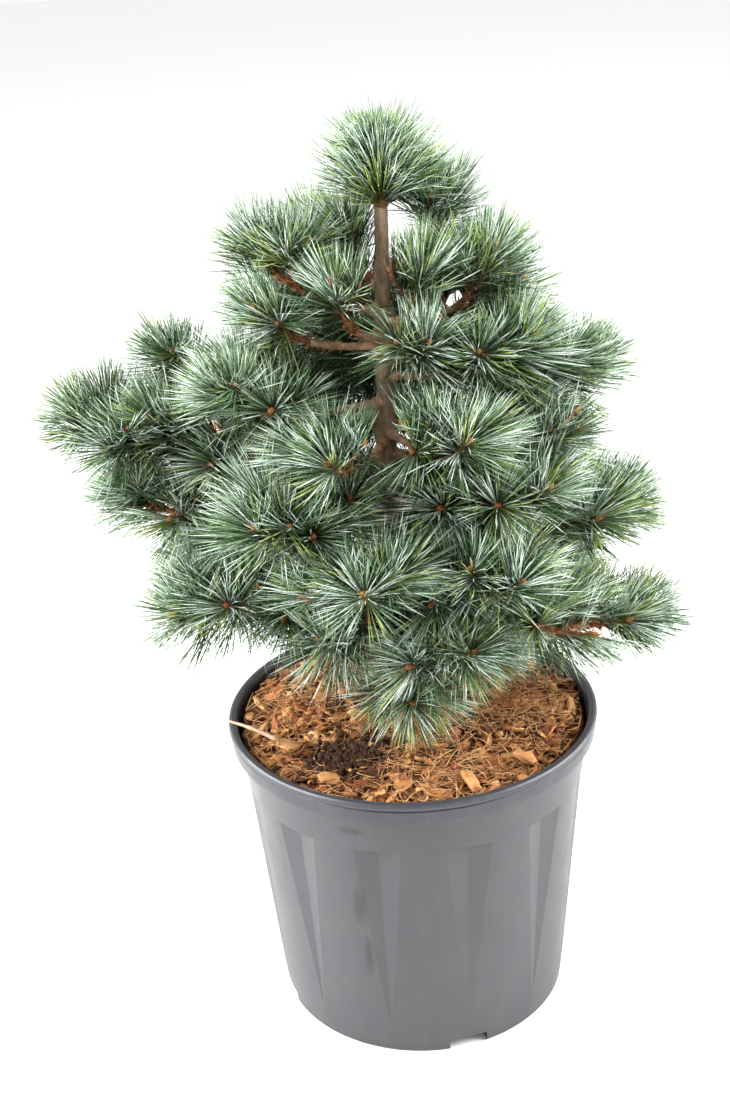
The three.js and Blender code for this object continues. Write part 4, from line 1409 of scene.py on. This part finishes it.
def make_soil():
    def on_top(co):
        return co.z > (SOIL_EDGE_HEIGHT - SOIL_TOP_DEPTH) * MM

    inside = WALL + SOIL_GAP
    profile = [(wall_radius(FLOOR_HEIGHT) - inside, FLOOR_HEIGHT + SOIL_GAP),
               (wall_radius(FLUTE_TOP) - inside, FLUTE_TOP),
               (SOIL_RADIUS, SOIL_EDGE_HEIGHT - SOIL_SHOULDER)]
    rings = np.linspace(SOIL_RADIUS, SOIL_INNER_RADIUS, SOIL_RINGS)
    profile += [(radius, SOIL_EDGE_HEIGHT) for radius in rings]
    soil = raise_rim(profile, POT_SIDES)
    pick(soil)
    bpy.ops.object.mode_set(mode="EDIT")
    select_points(soil, on_top)
    bpy.ops.mesh.subdivide(number_cuts=1)
    bpy.ops.object.mode_set(mode="OBJECT")
    for vert in soil.data.vertices:
        if on_top(vert.co):
            vert.co.z = mulch_height(vert.co.x / MM, vert.co.y / MM) * MM
    crumbs = relief_texture("soil_crumbs", "CLOUDS", CRUMB_SIZE)
    top = soil.vertex_groups.new(name="top")
    top.add([vert.index for vert in soil.data.vertices if on_top(vert.co)], 1, "ADD")
    apply_modifier(soil, "DISPLACE", texture=crumbs, strength=CRUMB_RELIEF * MM, mid_level=0.6,
                   direction="Z", vertex_group="top")
    finish_piece(soil, "soil_bed", [mulch("soil_crumb")], ["soil"])


def model_chip(size, seed):
    """A split flake of bark: a block with an uneven surface, its ends drawn in."""
    deselect_all()
    bpy.ops.mesh.primitive_cube_add(size=1, scale=size)
    chip = bpy.context.object
    bpy.ops.object.transform_apply()
    bpy.ops.object.mode_set(mode="EDIT")
    bpy.ops.mesh.select_all(action="SELECT")
    bpy.ops.mesh.subdivide(seed=seed, **CHIP_SURFACE)
    for side, scale in CHIP_ENDS:
        select_points(chip, lambda co: side * co.x > size[0] * CHIP_END)
        bpy.ops.transform.resize(value=scale)
    bpy.ops.mesh.select_all(action="SELECT")
    bpy.ops.mesh.quads_convert_to_tris()
    bpy.ops.object.mode_set(mode="OBJECT")
    corners = np.array([vert.co for vert in chip.data.vertices])
    faces = np.array([face.vertices for face in chip.data.polygons])
    bpy.data.objects.remove(chip)
    return corners, faces


def turned_copies(shape, angles, sizes, places):
    """Copies of a shape, each tilted two ways, turned about the upright and put in its place."""
    corners, faces = shape
    yaw, tilt, lean = angles
    x, y, z = (corners[:, axis][None] * sizes[:, None] for axis in range(3))
    x, z = x * np.cos(tilt) + z * np.sin(tilt), z * np.cos(tilt) - x * np.sin(tilt)
    y, z = y * np.cos(lean) - z * np.sin(lean), z * np.cos(lean) + y * np.sin(lean)
    x, y = x * np.cos(yaw) - y * np.sin(yaw), y * np.cos(yaw) + x * np.sin(yaw)
    copies = np.stack([x, y, z], axis=-1) + places[:, None]
    return copies.reshape(-1, 3), [repeat_faces(faces, len(places), len(corners))]


def scatter(count, random):
    """Places all over the mulch, apart from where the trunk stands."""
    inner, outer = MULCH_RING
    radius = np.sqrt(random.uniform(inner ** 2, outer ** 2, count))
    azimuth = random.uniform(0, FULL_TURN, count)
    x, y = radius * np.cos(azimuth), radius * np.sin(azimuth)
    near_trunk = np.hypot(x - TRUNK_FOOT[0], y - TRUNK_FOOT[1]) < TRUNK_ROOM
    return np.where(near_trunk, x + TRUNK_SIDESTEP, x), y


def on_mulch(x, y, lift):
    return np.stack([x, y, mulch_height(x, y) + lift], axis=-1)


def finish_mulch(name, arrays, tone):
    finish_piece(mesh_from_arrays(name, *arrays), name, [mulch(tone)], ["soil"])


def make_chips(random):
    shapes = [model_chip(size, seed) for seed, size in enumerate(CHIP_SHAPES)]
    for tone, total in CHIP_COUNTS.items():
        parts = []
        for shape in shapes:
            count = total // len(shapes)
            x, y = scatter(count, random)
            sizes = random.uniform(*CHIP_SIZES, count)
            places = on_mulch(x, y, random.uniform(*CHIP_LIFT, count))
            angles = [random.uniform(low, high, count)[:, None] for low, high in CHIP_ANGLES]
            parts.append(turned_copies(shape, angles, sizes, places))
        finish_mulch(f"mulch_chips_{tone}", join_arrays(parts), f"chip_{tone}")


def make_big_chips():
    parts = []
    for seed, chip in enumerate(BIG_CHIPS):
        shape = model_chip(chip["size"], seed + BIG_CHIP_SEED)
        angles = (chip["yaw"], chip["tilt"], BIG_CHIP_LEAN)
        parts.append(turned_copies(shape, angles, np.ones(1), np.array([chip["place"]])))
    finish_mulch("mulch_big_chips", join_arrays(parts), "chip_pale")


def make_stick(random):
    shares = np.linspace(0, 1, STICK_RINGS)
    arch = np.sin(shares * STICK_ARCH_TURN)[:, None] * STICK_ARCH
    path = lerp(*STICK_ENDS, shares[:, None]) + [0, 0, 1] * arch
    radii = lerp(*STICK_RADII, shares) * random.uniform(*UNEVEN, STICK_RINGS)
    finish_mulch("mulch_stick", tube_arrays(path[None], radii[None], STICK_SIDES), "stick_wood")


def make_painted_shadow_patch(random):
    """Dark crumbs heaped in a patch on the mulch: painted shadow under the low tuft that hangs above it."""
    shape = model_chip(SHADOW_PATCH["crumb"], SHADOW_PATCH["seed"])
    count = SHADOW_PATCH["crumbs"]
    x, y = (random.normal(middle, spread, count) for middle, spread in zip(SHADOW_PATCH["middle"], SHADOW_PATCH["spread"]))
    places = on_mulch(x, y, random.uniform(*SHADOW_PATCH["lift"], count))
    angles = random.uniform(*SHADOW_PATCH["turns"], (3, count, 1))
    sizes = random.uniform(*CHIP_SIZES, count)
    finish_mulch("painted_shadow_crumbs", turned_copies(shape, angles, sizes, places), "painted_shadow_tone")


def make_fibres(random):
    """Thin curling strands of bark and coir that lie on the mulch."""
    for tone, fibre in FIBRES.items():
        one_each = (fibre["count"], 1)
        x, y = scatter(fibre["count"], random)
        curl = random.normal(0, FIBRE_CURL, one_each) * np.linspace(0, 1, FIBRE_RINGS)
        yaw = random.uniform(0, FULL_TURN, one_each) + curl
        step = random.uniform(*fibre["length"], one_each) / FIBRE_RINGS
        px = x[:, None] + np.cumsum(np.cos(yaw) * step, axis=1)
        py = y[:, None] + np.cumsum(np.sin(yaw) * step, axis=1)
        shrink = np.minimum(1, MULCH_REACH / np.hypot(px, py))
        arch = np.linspace(-1, 1, FIBRE_RINGS) ** 2 * random.uniform(*FIBRE_ARCH, one_each)
        lift = FIBRE_LIFT + random.uniform(0, FIBRE_PILE, one_each) + arch
        paths = on_mulch(px * shrink, py * shrink, lift)
        radii = random.uniform(*fibre["radius"], one_each) * np.ones(FIBRE_RINGS)
        finish_mulch(f"mulch_fibres_{tone}", tube_arrays(paths, radii, THIN_SIDES), f"fibre_{tone}")


# Stage: floor, light and camera
def make_stage():
    deselect_all()
    bpy.ops.mesh.primitive_circle_add(vertices=STAGE_SIDES, radius=STAGE_RADIUS, fill_type="NGON")
    floor = bpy.context.object
    floor.name = "floor"
    floor.data.materials.append(plain_finish("pale_floor", **FLOOR_FINISH))


def add_softbox(name, location, target, size, power):
    light = bpy.data.lights.new(name, "AREA")
    light.shape = "RECTANGLE"
    light.size, light.size_y = size
    light.energy = power
    lamp = bpy.data.objects.new(name, light)
    aim = (Vector(target) - Vector(location)).to_track_quat("-Z", "Y")
    lamp.matrix_world = Matrix.Translation(location) @ aim.to_matrix().to_4x4()
    bpy.context.scene.collection.objects.link(lamp)


def make_lights():
    world = bpy.data.worlds.new("studio")
    world.use_nodes = True
    background = world.node_tree.nodes["Background"]
    background.inputs["Color"].default_value = (1, 1, 1, 1)
    background.inputs["Strength"].default_value = WORLD_STRENGTH
    bpy.context.scene.world = world
    for name, values in SOFTBOXES.items():
        add_softbox(name, *values)
    bpy.context.scene.view_settings.view_transform = "Standard"


def make_camera():
    data = bpy.data.cameras.new("camera")
    data.lens = LENS
    data.clip_end = VIEW_DEPTH
    camera = bpy.data.objects.new("camera", data)
    pitch = Matrix.Rotation(math.radians(90 - LOOK_DOWN), 4, "X")
    roll = Matrix.Rotation(math.radians(-ROLL), 4, "Z")
    camera.matrix_world = Matrix.Translation(EYE) @ pitch @ roll
    bpy.context.scene.collection.objects.link(camera)
    bpy.context.scene.camera = camera


def build():
    make_camera()
    make_lights()
    make_stage()
    make_pot()
    make_soil()
    random = np.random.default_rng(DRESSING_SEED)
    make_chips(random)
    make_fibres(random)
    make_big_chips()
    make_stick(random)
    # The dark patch on the mulch is painted shadow.
    make_painted_shadow_patch(random)
    make_trunk()
    make_boughs()
    twigs = plan_twigs()
    sprays = make_needles(twigs)
    make_sheaths(sprays, random)
    make_scales(twigs, random)
    make_twigs(twigs, random)
    make_buds(twigs, random)


build()
